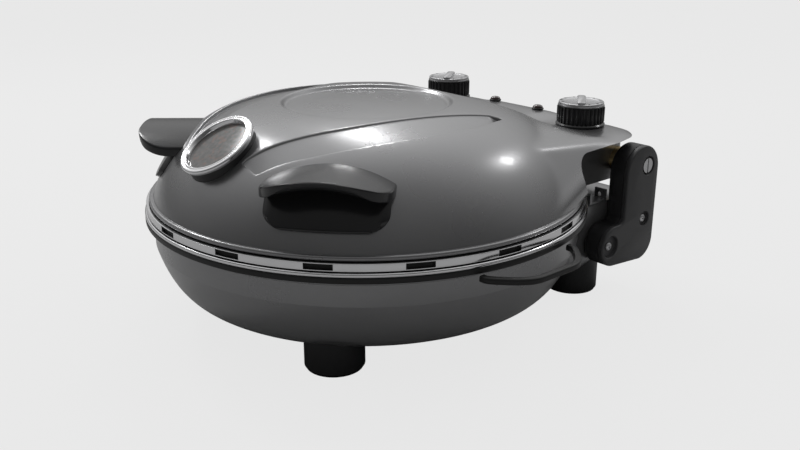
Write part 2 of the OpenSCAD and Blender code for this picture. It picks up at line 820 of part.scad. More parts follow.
module base_shell() {
    color("gray") difference() {
        union() {
            bowl_solid(0, 0);
            tail_solid(0);
            translate([0, 0, base_top - 3]) rotate_extrude($fn = 120)
                translate([base_r - 0.4, 1.5]) circle(r = 1.5, $fn = 24);
        }
        bowl_solid(base_wall, 5);
        tail_solid(base_wall);
        translate([0, 0, -1]) cylinder(r = hatch_r, h = foot_h + 5);
        for (p = foot_places) translate([p[0], p[1], 0]) cylinder(r = foot_screw_r + 0.1, h = 40, $fn = 48);
        hatch_screw_places() cylinder(r = 1.6, h = 10, center = true, $fn = 32);
        translate([0, tail_y - 10, gland_z]) rotate([-90, 0, 0]) cylinder(r = gland_r, h = 20, $fn = 64);
        both_sides() for (p = arm_screws_yz) translate([tail_x - 12, p[0], p[1]]) rotate([0, 90, 0])
            cylinder(r = arm_screw_r + 0.1, h = 30, $fn = 48);
    }
}

module hatch_screw_places() {
    for (i = [0:hatch_screws - 1]) rotate([0, 0, 45 + i * 360 / hatch_screws])
        translate([hatch_r + 7, 0, foot_h]) children();
}

module bottom_plate() {
    color("gray") difference() {
        translate([0, 0, foot_h - hatch_t]) cylinder(r = hatch_r + 13, h = hatch_t);
        hatch_screw_places() cylinder(r = 1.6, h = 10, center = true, $fn = 32);
        for (i = [-3:3]) translate([i * 12, 0, 0]) rounded_slot(44 - abs(i) * 6);
    }
}

// Cooling slot in the bottom plate.
module rounded_slot(len) {
    translate([-1.5, -len / 2, foot_h - 5]) cube([3, len, 10]);
    for (s = [-1, 1]) translate([0, s * len / 2, foot_h - 5]) cylinder(r = 1.5, h = 10, $fn = 24);
}

module bottom_screws() {
    color("silver") hatch_screw_places() translate([0, 0, -hatch_t])
        screw_up(2.8, 1.6, 1.5, 6);
}

module foot(i) {
    p = foot_places[i];
    color("black") difference() {
        translate([p[0], p[1], pad_h]) cylinder(r = foot_r, h = foot_h + 12);
        bowl_solid(-0.1, 0);
        tail_solid(-0.1);
        translate([p[0], p[1], pad_h - 1]) cylinder(r = foot_r - foot_wall, h = foot_floor - pad_h + 1);
        translate([p[0], p[1], 0]) cylinder(r = foot_screw_r + 0.1, h = 60, $fn = 48);
    }
}

module foot_pads() {
    color("black") for (p = foot_places) translate([p[0], p[1], 0]) {
        cylinder(r = foot_r - 1.2, h = pad_h);
        cylinder(r = foot_r - foot_wall - snug, h = pad_h + 3);
    }
}

module foot_screws() {
    color("silver") for (p = foot_places) translate([p[0], p[1], foot_floor])
        screw_up(4, 2.4, foot_screw_r, foot_h - foot_floor + 9);
}

module foot_nuts() {
    color("silver") intersection() {
        for (p = foot_places) translate([p[0], p[1], foot_h]) difference() {
            cylinder(r = 4.2, h = 7, $fn = 6);
            translate([0, 0, -1]) cylinder(r = foot_screw_r + 0.05, h = 20, $fn = 48);
        }
        union() {
            bowl_solid(base_wall + 0.05, 0);
            tail_solid(base_wall + 0.05);
        }
    }
}

module stone_tray() {
    flange_in = base_r - 6;
    lip = 2.5;
    color("black") rotate_extrude($fn = 120) polygon([
        [stone_r - 14, tray_ledge_z], [tray_r + tray_sheet, tray_ledge_z],
        [tray_r + tray_sheet, base_top], [base_r - base_wall + 0.4, base_top],
        [rim_r, base_top], [rim_r, band_top], [rim_r - lip, band_top],
        [rim_r - lip, base_top + tray_sheet], [flange_in, base_top + tray_sheet],
        [tray_r, base_top + tray_sheet], [tray_r, tray_ledge_z + tray_sheet],
        [stone_r - 14, tray_ledge_z + tray_sheet]]);
}

// Half outline of a carrying loop, inset by g, from its root to its middle.
function loop_half_outline(g) = [
    [rim_r - 18, loop_half - g], [rim_r - 5, loop_half - g],
    [rim_r + loop_out - 6 - 0.7 * g, loop_half - 15 - 0.6 * g], [rim_r + loop_out - g, loop_half - 23 - 0.4 * g]];

module loop_outline(g) {
    side = loop_half_outline(g);
    polygon(concat(side, [for (i = [len(side) - 1:-1:0]) [side[i][0], -side[i][1]]]));
}

module tray_loop() {
    color("black") difference() {
        translate([0, 0, base_top - snug - loop_t]) linear_extrude(loop_t) difference() {
            loop_outline(0);
            translate([-1, 0]) loop_outline(loop_t);
        }
        translate([0, 0, base_top - 30]) cylinder(r = base_r + 1.3, h = 60, $fn = 120);
    }
}

module rim_ring() {
    color("gainsboro") translate([0, 0, band_top]) ring(rim_r, rim_r - 11, ring_h);
}

module baking_stone() {
    color("tan") translate([0, 0, stone_z]) {
        cylinder(r = stone_r, h = stone_h - 1);
        translate([0, 0, stone_h - 1 - eps]) cylinder(r1 = stone_r, r2 = stone_r - 1, h = 1);
    }
}

module lower_reflector() {
    low = dish_z - dish_deep;
    floor_r = dish_r - 24;
    color("silver") difference() {
        rotate_extrude($fn = 120) polygon([
            [0, low], [floor_r, low], [dish_r, dish_z], [base_r - base_wall - snug, dish_z],
            [base_r - base_wall - snug, dish_z + dish_sheet], [dish_r - 0.6, dish_z + dish_sheet],
            [floor_r - 0.6, low + dish_sheet], [0, low + dish_sheet]]);
        element_ends(lower_ring_r) cylinder(r = insulator_r + snug, h = 200, $fn = 48);
    }
}

module lower_element() translate([0, 0, lower_element_z]) element(lower_ring_r, lower_leg);
module lower_clips() clips(lower_ring_r, dish_z - dish_deep + dish_sheet, lower_element_z);
module lower_insulators() insulators(lower_ring_r, dish_z - dish_deep - 3, 8);

module cord_gland() {
    flange_r = gland_r + 2.2;
    color("black") translate([0, tail_y - base_wall, gland_z]) rotate([-90, 0, 0]) difference() {
        union() {
            translate([0, 0, -2]) cylinder(r = gland_r - snug, h = base_wall + 2 + gland_out, $fn = 64);
            translate([0, 0, -2 - eps]) cylinder(r = flange_r, h = 2, $fn = 64);
            translate([0, 0, base_wall + eps]) cylinder(r = flange_r, h = gland_out - eps, $fn = 64);
        }
        translate([0, 0, -5]) cylinder(r = gland_r / 2, h = 30, $fn = 48);
    }
}

// Box of a timer or thermostat, hung under its knob seat.
module control_body(x) {
    top = seat_z - lid_wall - 0.1;
    color("whitesmoke") difference() {
        translate([x, knob_y, top - body_h]) rounded_block(body_box, body_box, body_h, 3);
        translate([x, knob_y, top - 12]) cylinder(r = shaft_r + shaft_fit, h = 20, $fn = 48);
    }
}

module control_shaft(x) {
    color("silver") translate([x, knob_y, seat_z - lid_wall - 0.1 - 11.9])
        cylinder(r = shaft_r, h = lid_wall + 0.1 + 11.9 + seat_clear + socket_deep - 0.2, $fn = 48);
}

module shaft_nuts() {
    color("silver") both_sides() translate([knob_x, knob_y, seat_z - lid_wall - 0.1])
        ring(neck_r, shaft_r + 0.3, lid_wall);
}

// Fluted knob with a flared foot and a blind bore for its shaft.
module knob(x) {
    color("black") translate([x, knob_y, knob_z]) difference() {
        union() {
            cylinder(r = knob_r, h = 2.2);
            cylinder(r = knob_r - 0.8, h = knob_h - 4);
        }
        for (i = [0:flute_count - 1]) rotate([0, 0, i * 360 / flute_count])
            translate([knob_r + 0.5, 0, 3]) cylinder(r = 2, h = knob_h, $fn = 24);
        translate([0, 0, -1]) cylinder(r = shaft_r + 0.02, h = socket_deep + 1, $fn = 48);
    }
}

// Bright cap with a raised finger grip.
module knob_cap(x) {
    color("silver") translate([x, knob_y, knob_z + knob_h - 4]) {
        cylinder(r = knob_r - 1.6, h = 2.4);
        intersection() {
            translate([-4.5, -knob_r, 0]) cube([9, 2 * knob_r, 4]);
            cylinder(r = knob_r - 2.6, h = 4);
        }
    }
}

module lamp(x) {
    color("darkred") translate([x, lamp_y, lamp_z - 8]) {
        cylinder(r = lamp_r - 0.2, h = 10, $fn = 48);
        translate([0, 0, 8 + eps]) cylinder(r = lamp_r + 1, h = 4, $fn = 48);
    }
}

module lamp_holders() {
    color("black") both_sides() translate([lamp_x, lamp_y, lamp_z - 10.5]) difference() {
        cylinder(r = lamp_r + 3, h = 10.4 - lid_wall, $fn = 48);
        translate([0, 0, 2.4]) cylinder(r = lamp_r, h = 20, $fn = 48);
    }
}

placed() base_shell();
placed() bottom_plate();
placed() bottom_screws();
placed() foot(0);  // foot_front_left
placed() foot(1);  // foot_front_right
placed() foot(2);  // foot_rear_left
placed() foot(3);  // foot_rear_right
placed() foot_pads();
placed() foot_screws();
placed() foot_nuts();
placed() stone_tray();
placed() mirror([1, 0, 0]) tray_loop();  // tray_loop_left
placed() tray_loop();  // tray_loop_right
placed() rim_ring();
placed() baking_stone();
placed() lower_reflector();
placed() lower_element();
placed() lower_clips();
placed() lower_insulators();
placed() cord_gland();
placed() mirror([1, 0, 0]) arm_tub();  // arm_tub_left
placed() arm_tub();  // arm_tub_right
placed() mirror([1, 0, 0]) arm_cover();  // arm_cover_left
placed() arm_cover();  // arm_cover_right
placed() arm_screws();
placed() mirror([1, 0, 0]) hinge_pin();  // hinge_pin_left
placed() hinge_pin();  // hinge_pin_right
placed() mirror([1, 0, 0]) hinge_bracket();  // hinge_bracket_left
placed() hinge_bracket();  // hinge_bracket_right
placed() lid_shell();
placed() lid_liner();
placed() upper_element();
placed() upper_clips();
placed() upper_insulators();
placed() vent_ring();
placed() vent_gasket();
placed() window_bezel();
placed() window_drum();
placed() window_glass();
placed() window_nut();
placed() liner_glass();
placed() lid_handle(-1);  // lid_handle_left
placed() lid_handle(1);  // lid_handle_right
placed() handle_screws();
placed() housing_cover();
placed() mirror([1, 0, 0]) hinge_bush();  // hinge_bush_left
placed() hinge_bush();  // hinge_bush_right
placed() control_body(knob_x);  // timer_body
placed() control_body(-knob_x);  // thermostat_body
placed() shaft_nuts();
placed() lamp(-lamp_x);  // lamp_power
placed() lamp(lamp_x);  // lamp_heat
placed() lamp_holders();
placed() control_shaft(knob_x);  // timer_shaft
placed() knob(knob_x);  // timer_knob
placed() knob_cap(knob_x);  // timer_cap
placed() control_shaft(-knob_x);  // thermostat_shaft
placed() knob(-knob_x);  // thermostat_knob
placed() knob_cap(-knob_x);  // thermostat_cap
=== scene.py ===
"""Looks of a countertop pizza maker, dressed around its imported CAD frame.

Shapes are worked out in millimetres: the round axis is X = Y = 0 and the feet stand on Z = 0.
A piece is moved into the frame, in metres, when its mesh is made.
"""

from __future__ import annotations

import json
import logging
import math
from dataclasses import dataclass, field
from enum import Enum
from typing import Any, Iterable, Sequence

import bmesh
import bpy
import numpy as np
from mathutils import Matrix, Vector
from mathutils.bvhtree import BVHTree

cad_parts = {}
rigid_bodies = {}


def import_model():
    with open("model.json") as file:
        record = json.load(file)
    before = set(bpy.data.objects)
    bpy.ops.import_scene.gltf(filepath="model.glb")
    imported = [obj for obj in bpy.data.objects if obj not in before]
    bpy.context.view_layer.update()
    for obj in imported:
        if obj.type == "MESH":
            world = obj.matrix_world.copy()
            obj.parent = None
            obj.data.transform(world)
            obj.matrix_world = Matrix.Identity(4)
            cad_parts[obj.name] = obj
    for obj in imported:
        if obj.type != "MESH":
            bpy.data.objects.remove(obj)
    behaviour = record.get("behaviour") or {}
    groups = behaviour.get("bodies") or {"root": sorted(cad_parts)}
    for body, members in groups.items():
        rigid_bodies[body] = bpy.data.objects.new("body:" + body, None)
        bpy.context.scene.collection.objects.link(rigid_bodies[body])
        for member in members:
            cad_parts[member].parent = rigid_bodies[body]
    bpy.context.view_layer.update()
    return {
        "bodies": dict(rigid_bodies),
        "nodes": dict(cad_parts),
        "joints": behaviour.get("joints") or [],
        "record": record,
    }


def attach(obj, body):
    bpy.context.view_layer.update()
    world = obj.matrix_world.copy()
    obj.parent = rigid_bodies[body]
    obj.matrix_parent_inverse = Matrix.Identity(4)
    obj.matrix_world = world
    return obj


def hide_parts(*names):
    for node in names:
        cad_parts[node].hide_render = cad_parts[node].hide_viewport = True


LOG = logging.getLogger("pizza_maker")
MM = 0.001
SHARP = 32.0
SOFT = 40.0
AXIS_Y = -11.5

RGB = tuple[float, float, float]
Pair = tuple[float, float]


class Body(Enum):
    """The rigid bodies of the frame."""

    BASE = "base"
    LID = "lid"
    TIMER = "timer_dial"
    THERMOSTAT = "thermostat_dial"


class Join(Enum):
    """How a tool solid changes another solid."""

    ADD = "UNION"
    CUT = "DIFFERENCE"


# Heights of the stack, from the table up.
BASE_TOP = 80.4
BAND_TOP = 84.4
RING_TOP = 87.4
VENT_Z = 88.2
EDGE_Z = 93.5
DECK_Z = 131.0
PANEL_Z = 134.5
LID_TOP = 162.0
RIM_R = 170.0
VENT_R = 168.5
PIVOT = (179.0, 105.0)
BAY_X = 104.0
ARM_IN, ARM_OUT, COVER_T = 116.4, 135.0, 4.6


# Shapes


@dataclass
class Shape:
    """A closed mesh in millimetres: its corner points and its faces."""

    points: np.ndarray
    faces: list[tuple[int, ...]]

    def placed(self, matrix: Matrix) -> Shape:
        """Moves the shape.

        Args:
            matrix: where it goes, without a mirror.

        Returns:
            The moved shape.
        """
        m = np.array(matrix)
        return Shape(self.points @ m[:3, :3].T + m[:3, 3], self.faces)

    def mirrored(self) -> Shape:
        """Gives the left-hand twin of a right-hand shape."""
        return Shape(self.points * (-1, 1, 1), [f[::-1] for f in self.faces])

    def joined(self, other: Shape) -> Shape:
        """Puts two shapes in one mesh.

        Args:
            other: the second shape.

        Returns:
            Both shapes, side by side in one list.
        """
        start = len(self.points)
        moved = [tuple(i + start for i in f) for f in other.faces]
        return Shape(np.vstack([self.points, other.points]), self.faces + moved)


def lathe(profile: Sequence[Pair], steps: int = 192, ring: bool = True) -> Shape:
    """Turns an outline about the Z axis.

    Args:
        profile: (radius, height) pairs that go up the outside first.
        steps: number of steps round the axis.
        ring: True where the outline is a closed loop off the axis, False where it runs
            from a point on the axis to another.

    Returns:
        The turned shape, closed.
    """
    turn = np.linspace(0, 2 * math.pi, steps, endpoint=False)
    body = list(profile) if ring else list(profile)[1:-1]
    points = [(r * math.cos(a), r * math.sin(a), z) for r, z in body for a in turn]
    rows = len(body)
    faces: list[tuple[int, ...]] = []
    for i in range(rows if ring else rows - 1):
        low, high = i * steps, ((i + 1) % rows) * steps
        for j in range(steps):
            k = (j + 1) % steps
            faces.append((low + j, low + k, high + k, high + j))
    if not ring:
        first, last = len(points), len(points) + 1
        points += [(0.0, 0.0, profile[0][1]), (0.0, 0.0, profile[-1][1])]
        top = (rows - 1) * steps
        for j in range(steps):
            k = (j + 1) % steps
            faces += [(first, k, j), (last, top + j, top + k)]
    return Shape(np.array(points, float), faces)


def loft(loops: Sequence[np.ndarray]) -> Shape:
    """Skins a row of closed loops with the same number of points.

    Args:
        loops: arrays of 3-D points, each loop anticlockwise seen from the last one.

    Returns:
        The skinned shape with a flat cap at both ends.
    """
    count = len(loops[0])
    faces: list[tuple[int, ...]] = []
    for i in range(len(loops) - 1):
        for j in range(count):
            k = (j + 1) % count
            faces.append((i * count + j, i * count + k, (i + 1) * count + k, (i + 1) * count + j))
    last = (len(loops) - 1) * count
    faces.append(tuple(range(count))[::-1])
    faces.append(tuple(range(last, last + count)))
    return Shape(np.vstack(loops), faces)


def arc(cx: float, cy: float, r: float, start: float, end: float, steps: int) -> list[Pair]:
    """Points of a circular arc.

    Args:
        cx: the centre's first coordinate.
        cy: the centre's second coordinate.
        r: the radius.
        start: the first angle, in degrees.
        end: the last angle, in degrees.
        steps: number of steps.

    Returns:
        The points, both ends included.
    """
    turn = [math.radians(start + (end - start) * i / steps) for i in range(steps + 1)]
    return [(cx + r * math.cos(a), cy + r * math.sin(a)) for a in turn]


def rounded_rectangle(half_w: float, half_h: float, r: float, steps: int = 6) -> list[Pair]:
    """A rectangle with round corners, anticlockwise round the origin.

    Args:
        half_w: half its width.
        half_h: half its height.
        r: the corner radius.
        steps: steps in a corner.

    Returns:
        The outline.
    """
    w, h = half_w - r, half_h - r
    corners = [(w, -h, -90), (w, h, 0), (-w, h, 90), (-w, -h, 180)]
    return [p for x, y, a in corners for p in arc(x, y, r, a, a + 90, steps)]


def softened(profile: Sequence[Pair], r: float, steps: int = 4) -> list[Pair]:
    """Rounds every corner of a closed outline.

    Args:
        profile: the corners.
        r: how far along each side the rounding reaches, at most 45% of the side.
        steps: steps in a corner.

    Returns:
        The rounded outline.
    """
    made: list[Pair] = []
    ring = [np.array(p, float) for p in profile]
    for i, corner in enumerate(ring):
        before, after = ring[i - 1] - corner, ring[(i + 1) % len(ring)] - corner
        ends = []
        for side in (before, after):
            length = float(np.linalg.norm(side))
            ends.append(corner + side / length * min(r, 0.45 * length))
        for j in range(steps + 1):
            t = j / steps
            p = ends[0] * (1 - t) ** 2 + corner * 2 * t * (1 - t) + ends[1] * t**2
            made.append((float(p[0]), float(p[1])))
    return made


def frame_matrix(x: float = 0, y: float = 0, z: float = 0, turn: Matrix | None = None) -> Matrix:
    """A move that turns a shape first and then shifts it."""
    return Matrix.Translation((x, y, z)) @ (turn or Matrix.Identity(4))


def turned(degrees: float, axis: str) -> Matrix:
    """A turn about a main axis."""
    return Matrix.Rotation(math.radians(degrees), 4, axis)


def cylinder(r: float, low: float, high: float, steps: int = 64) -> Shape:
    """A plain cylinder about the Z axis."""
    return lathe([(0, low), (r, low), (r, high), (0, high)], steps, ring=False)


# Meshes


def mesh_object(name: str, shape: Shape, sharp: float = SHARP) -> bpy.types.Object:
    """Makes a mesh object in the frame's own metres.

    Args:
        name: the piece's name.
        shape: its shape in millimetres.
        sharp: edges that turn by more than this many degrees are shaded sharp.

    Returns:
        The object.
    """
    mesh = bpy.data.meshes.new(name)
    points = (shape.points + (0, AXIS_Y, 0)) * MM
    mesh.from_pydata(points.tolist(), [], shape.faces)
    mesh.validate()
    obj = bpy.data.objects.new(name, mesh)
    bpy.context.scene.collection.objects.link(obj)
    shade(obj, sharp)
    return obj


def shade(obj: bpy.types.Object, sharp: float) -> None:
    """Shades a mesh smooth between its sharp edges."""
    bm = bmesh.new()
    bm.from_mesh(obj.data)
    limit = math.radians(sharp)
    for face in bm.faces:
        face.smooth = True
    for edge in bm.edges:
        edge.smooth = edge.calc_face_angle(0.0) < limit
    bm.to_mesh(obj.data)
    bm.free()


def settle(obj: bpy.types.Object) -> None:
    """Turns an object's modifiers into its plain mesh."""
    graph = bpy.context.evaluated_depsgraph_get()
    mesh = bpy.data.meshes.new_from_object(obj.evaluated_get(graph), depsgraph=graph)
    obj.modifiers.clear()
    old, obj.data = obj.data, mesh
    bpy.data.meshes.remove(old)


def combine(target: bpy.types.Object, tools: Iterable[Shape], how: Join) -> None:
    """Adds tool solids to an object or cuts them from it.

    Args:
        target: the object that changes.
        tools: closed shapes.
        how: add or cut.
    """
    for tool in tools:
        helper = mesh_object("tool", outward(tool))
        change = target.modifiers.new("tool", "BOOLEAN")
        change.operation = how.value
        change.solver = "MANIFOLD"
        change.object = helper
        settle(target)
        old = helper.data
        bpy.data.objects.remove(helper)
        bpy.data.meshes.remove(old)


def dressed(obj: bpy.types.Object, finish: Finish, body: Body, *nodes: str) -> None:
    """Gives a finished piece its material, its body and the CAD nodes that it stands for.

    Args:
        obj: the piece.
        finish: its finish, whose material the piece takes; the slot name that the finish carries is
            not used here.
        body: the body that carries it.
        nodes: the CAD nodes that it replaces.
    """
    obj.data.materials.clear()
    obj.data.materials.append(finish.material())
    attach(obj, body.value)
    if nodes:
        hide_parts(*nodes)
    LOG.info("%s: %d faces on %s", obj.name, len(obj.data.polygons), body.value)


def piece(
    name: str, shape: Shape, finish: Finish, body: Body, *nodes: str, sharp: float = SHARP
) -> None:
    """Makes a piece from a shape and dresses it.

    Args:
        name: the piece's name.
        shape: its form, in millimetres.
        finish: its finish.
        body: the body that carries it.
        nodes: the CAD nodes that it replaces.
        sharp: the angle, in degrees, from which its edges stay sharp.
    """
    dressed(mesh_object(name, shape, sharp), finish, body, *nodes)


def dress_nodes(frame: dict[str, Any], finish: Finish, *names: str) -> None:
    """Gives carried-over CAD nodes a finish.

    Args:
        finish: the finish.
        names: the nodes.
    """
    for name in names:
        for slot in frame["nodes"][name].material_slots:
            slot.material = finish.material()
        LOG.info("%s: kept from the frame", name)


# Shader maths


class Signal:
    """A socket of a material, used in Python expressions."""

    def __init__(self, graph: ShaderGraph, socket: bpy.types.NodeSocket) -> None:
        """Wraps a socket of a graph."""
        self.graph = graph
        self.socket = socket

    def _math(self, operation: str, *values: Any) -> Signal:
        """Adds a Math node on some values."""
        return self.graph.node("ShaderNodeMath", {"operation": operation}, dict(enumerate(values)))

    def __add__(self, other: Any) -> Signal:
        """self + other"""
        return self._math("ADD", self, other)

    __radd__ = __add__

    def __sub__(self, other: Any) -> Signal:
        """self - other"""
        return self._math("SUBTRACT", self, other)

    def __rsub__(self, other: Any) -> Signal:
        """other - self"""
        return self._math("SUBTRACT", other, self)

    def __mul__(self, other: Any) -> Signal:
        """self * other"""
        return self._math("MULTIPLY", self, other)

    __rmul__ = __mul__

    def __truediv__(self, other: Any) -> Signal:
        """self / other"""
        return self._math("DIVIDE", self, other)

    def __pow__(self, other: Any) -> Signal:
        """self ** other"""
        return self._math("POWER", self, other)

    def between(self, low: float, high: float) -> Signal:
        """Goes smoothly from 0 at low to 1 at high."""
        settings = {"interpolation_type": "SMOOTHSTEP", "clamp": True}
        inputs = {"Value": self, "From Min": low, "From Max": high, "To Min": 0.0, "To Max": 1.0}
        return self.graph.node("ShaderNodeMapRange", settings, inputs)


class NodeTree:
    """Makes the nodes of one tree, of whichever kind."""

    tree: bpy.types.NodeTree

    def add(
        self,
        kind: str,
        settings: dict[str, Any] | None = None,
        inputs: dict[Any, Any] | None = None,
        output: str | int = 0,
    ) -> bpy.types.NodeSocket:
        """Adds any node.

        Args:
            kind: the node's type.
            settings: its properties, set first.
            inputs: values, sockets or signals by socket name or number.
            output: the output to return.

        Returns:
            That output's socket, or the first input's where the node has no outputs.
        """
        made = self.tree.nodes.new(kind)
        for key, value in (settings or {}).items():
            setattr(made, key, value)
        for key, value in (inputs or {}).items():
            socket = made.inputs[key]
            if isinstance(value, Signal):
                value = value.socket
            if isinstance(value, bpy.types.NodeSocket):
                self.tree.links.new(value, socket)
            elif socket.type == "RGBA" and len(value) == 3:
                socket.default_value = (*value, 1.0)
            else:
                socket.default_value = value
        return made.outputs[output] if made.outputs else made.inputs[0]


class ShaderGraph(NodeTree):
    """Builds the nodes of one material or of the world."""

    def __init__(self, owner: bpy.types.Material | bpy.types.World) -> None:
        """Starts with an empty tree."""
        owner.use_nodes = True
        self.owner = owner
        self.tree = owner.node_tree
        self.tree.nodes.clear()

    def node(self, *given: Any, **named: Any) -> Signal:
        """Adds any node, as add does, and returns its output as a signal."""
        return Signal(self, self.add(*given, **named))

    def place(self, stretch: RGB = (1.0, 1.0, 1.0)) -> Signal:
        """The point on the piece, in millimetres, stretched along each axis."""
        point = self.node("ShaderNodeTexCoord", output="Object")
        scale = tuple(s / MM for s in stretch)
        return self.node("ShaderNodeMapping", None, {"Vector": point, "Scale": scale})

    def noise(self, grain: float, detail: float = 3.0, stretch: RGB = (1.0, 1.0, 1.0)) -> Signal:
        """Noise about 0.5.

        Args:
            grain: size of a spot, in millimetres.
            detail: octaves.
            stretch: scale along each axis.

        Returns:
            The noise.
        """
        settings = {"noise_dimensions": "3D"}
        inputs = {"Vector": self.place(stretch), "Scale": 1 / grain, "Detail": detail}
        return self.node("ShaderNodeTexNoise", settings, inputs)

    def specks(self, grain: float) -> Signal:
        """Distance to the nearest of some scattered points, in cells of a grain's size."""
        return self.node("ShaderNodeTexVoronoi", None, {"Vector": self.place(), "Scale": 1 / grain})

    def axes(self) -> tuple[Signal, Signal, Signal]:
        """The point's distance along each axis from the round axis, in millimetres."""
        split = self.node("ShaderNodeSeparateXYZ", None, {"Vector": self.place()})
        outs = [Signal(self, split.socket.node.outputs[i]) for i in range(3)]
        return outs[0], outs[1] - AXIS_Y, outs[2]

    def blend(self, share: Any, first: Any, second: Any) -> Signal:
        """Mixes two colours, from the first at 0 to the second at 1."""
        inputs = {0: share, 6: first, 7: second}
        return self.node("ShaderNodeMix", {"data_type": "RGBA"}, inputs, output=2)

    def bump(self, height: Signal, depth: float) -> Signal:
        """A bump of a real depth.

        Args:
            height: the height, 0 to 1.
            depth: how deep it is, in millimetres.

        Returns:
            The normal.
        """
        inputs = {"Height": height, "Distance": depth * MM, "Strength": 1.0}
        return self.node("ShaderNodeBump", None, inputs)

    def finish(self, surface: dict[str, Any]) -> bpy.types.Material:
        """Closes the material with a Principled shader.

        Args:
            surface: the shader's inputs by name.

        Returns:
            The material.
        """
        shader = self.node("ShaderNodeBsdfPrincipled", None, surface)
        self.node("ShaderNodeOutputMaterial", None, {"Surface": shader})
        return self.owner


# Finishes


@dataclass(frozen=True)
class Finish:
    """A surface finish: a plain colour with a fine grain unless a subclass says more."""

    name: str
    slot: str
    colour: RGB
    roughness: float = 0.5
    metallic: float = 0.0
    coat: float = 0.0
    specular: float = 0.5
    grain: float = 0.6
    depth: float = 0.01
    mottle: float = 0.12

    def material(self) -> bpy.types.Material:
        """The material, made once."""
        found = bpy.data.materials.get(self.name)
        if found:
            return found
        graph = ShaderGraph(bpy.data.materials.new(self.name))
        surface = {
            "Metallic": self.metallic,
            "Coat Weight": self.coat,
            "Coat Roughness": 0.06,
            "Specular IOR Level": self.specular,
        }
        surface.update(self.surface(graph))
        return graph.finish(surface)

    def shades(self, less: float) -> tuple[RGB, RGB]:
        """The colour, darkened and lightened by a share."""
        dark = tuple(c * (1 - less) for c in self.colour)
        light = tuple(min(1.0, c * (1 + less)) for c in self.colour)
        return dark, light

    def surface(self, graph: ShaderGraph) -> dict[str, Any]:
        """What changes over the surface.

        Args:
            graph: the material's nodes.

        Returns:
            Inputs of the Principled shader.
        """
        broad = graph.noise(35.0)
        fine = graph.noise(self.grain, 2.0)
        dark, light = self.shades(self.mottle)
        return {
            "Base Color": graph.blend(broad * 0.6 + fine * 0.4, dark, light),
            "Roughness": self.roughness + (fine - 0.5) * 0.12 + (broad - 0.5) * 0.08,
            "Normal": graph.bump(fine, self.depth),
        }


@dataclass(frozen=True)
class MetallicPaint(Finish):
    """Stoved metallic paint under a clear coat, with flakes and a faint orange peel."""

    def surface(self, graph: ShaderGraph) -> dict[str, Any]:
        """Flakes, soft clouds and the coat's faint waves."""
        flakes = graph.specks(0.35)
        clouds = graph.noise(60.0, 2.0)
        peel = graph.noise(2.2, 1.0)
        dust = graph.noise(9.0, 4.0).between(0.55, 0.8)
        dark, light = self.shades(self.mottle)
        sparkle = (1 - flakes.between(0.1, 0.6)) * 0.35
        return {
            "Base Color": graph.blend(clouds * 0.65 + sparkle, dark, light),
            "Roughness": self.roughness + (clouds - 0.5) * 0.06 + dust * 0.04,
            "Normal": graph.bump(peel, self.depth),
        }


@dataclass(frozen=True)
class Polished(Finish):
    """Bright metal with faint wipe marks."""

    def surface(self, graph: ShaderGraph) -> dict[str, Any]:
        """Smudges in the gloss and hair-fine rubbing."""
        smudge = graph.noise(14.0, 4.0)
        hair = graph.noise(0.5, 2.0, (1.0, 1.0, 6.0))
        dark, light = self.shades(self.mottle)
        return {
            "Base Color": graph.blend(smudge, dark, light),
            "Roughness": self.roughness + smudge * 0.07 + (hair - 0.5) * 0.04,
            "Normal": graph.bump(hair, self.depth),
        }


@dataclass(frozen=True)
class Turned(Finish):
    """Metal with fine rings round the round axis or a knob's axis."""

    centre: Pair = (0.0, 0.0)

    def surface(self, graph: ShaderGraph) -> dict[str, Any]:
        """Rings by distance from the centre, with broad stains."""
        x, y, _ = graph.axes()
        reach = ((x - self.centre[0]) ** 2.0 + (y - self.centre[1]) ** 2.0) ** 0.5
        rings = graph.node(
            "ShaderNodeTexNoise", {"noise_dimensions": "1D"},
            {"W": reach * 2.2, "Scale": 1.0, "Detail": 2.0}
        )
        stain = graph.noise(25.0, 4.0)
        dark, light = self.shades(self.mottle)
        return {
            "Base Color": graph.blend(rings * 0.5 + stain * 0.5, dark, light),
            "Roughness": self.roughness + (rings - 0.5) * 0.2 + (stain - 0.5) * 0.1,
            "Normal": graph.bump(rings, self.depth),
        }


@dataclass(frozen=True)
class Speckled(Finish):
    """A mineral or enamel surface with specks of a second colour."""

    speck: RGB = (0.2, 0.2, 0.2)
    share: float = 0.5

    def surface(self, graph: ShaderGraph) -> dict[str, Any]:
        """Two sizes of specks over a mottled ground."""
        ground = graph.noise(18.0, 4.0)
        small = graph.noise(self.grain, 1.0).between(0.58, 0.66)
        large = 1 - graph.specks(self.grain * 4).between(0.12, 0.3)
        dark, light = self.shades(self.mottle)
        marks = small * 0.6 * self.share + large * 0.5 * self.share
        return {
            "Base Color": graph.blend(marks, graph.blend(ground, dark, light), self.speck),
            "Roughness": self.roughness + (ground - 0.5) * 0.12,
            "Normal": graph.bump(small * 0.5 + ground * 0.5, self.depth),
        }


@dataclass(frozen=True)
class HeatedTube(Finish):
    """A steel tube with blue-brown heat stains."""

    def surface(self, graph: ShaderGraph) -> dict[str, Any]:
        """Stains in bands along the tube and a dull scale."""
        bands = graph.noise(16.0, 3.0)
        scale = graph.noise(0.7, 3.0)
        dark, _ = self.shades(0.45)
        stained = graph.blend(bands.between(0.35, 0.7), dark, (0.16, 0.12, 0.10))
        return {
            "Base Color": graph.blend(scale * 0.3, stained, (0.05, 0.055, 0.07)),
            "Roughness": self.roughness + (scale - 0.5) * 0.2,
            "Normal": graph.bump(scale, self.depth),
        }


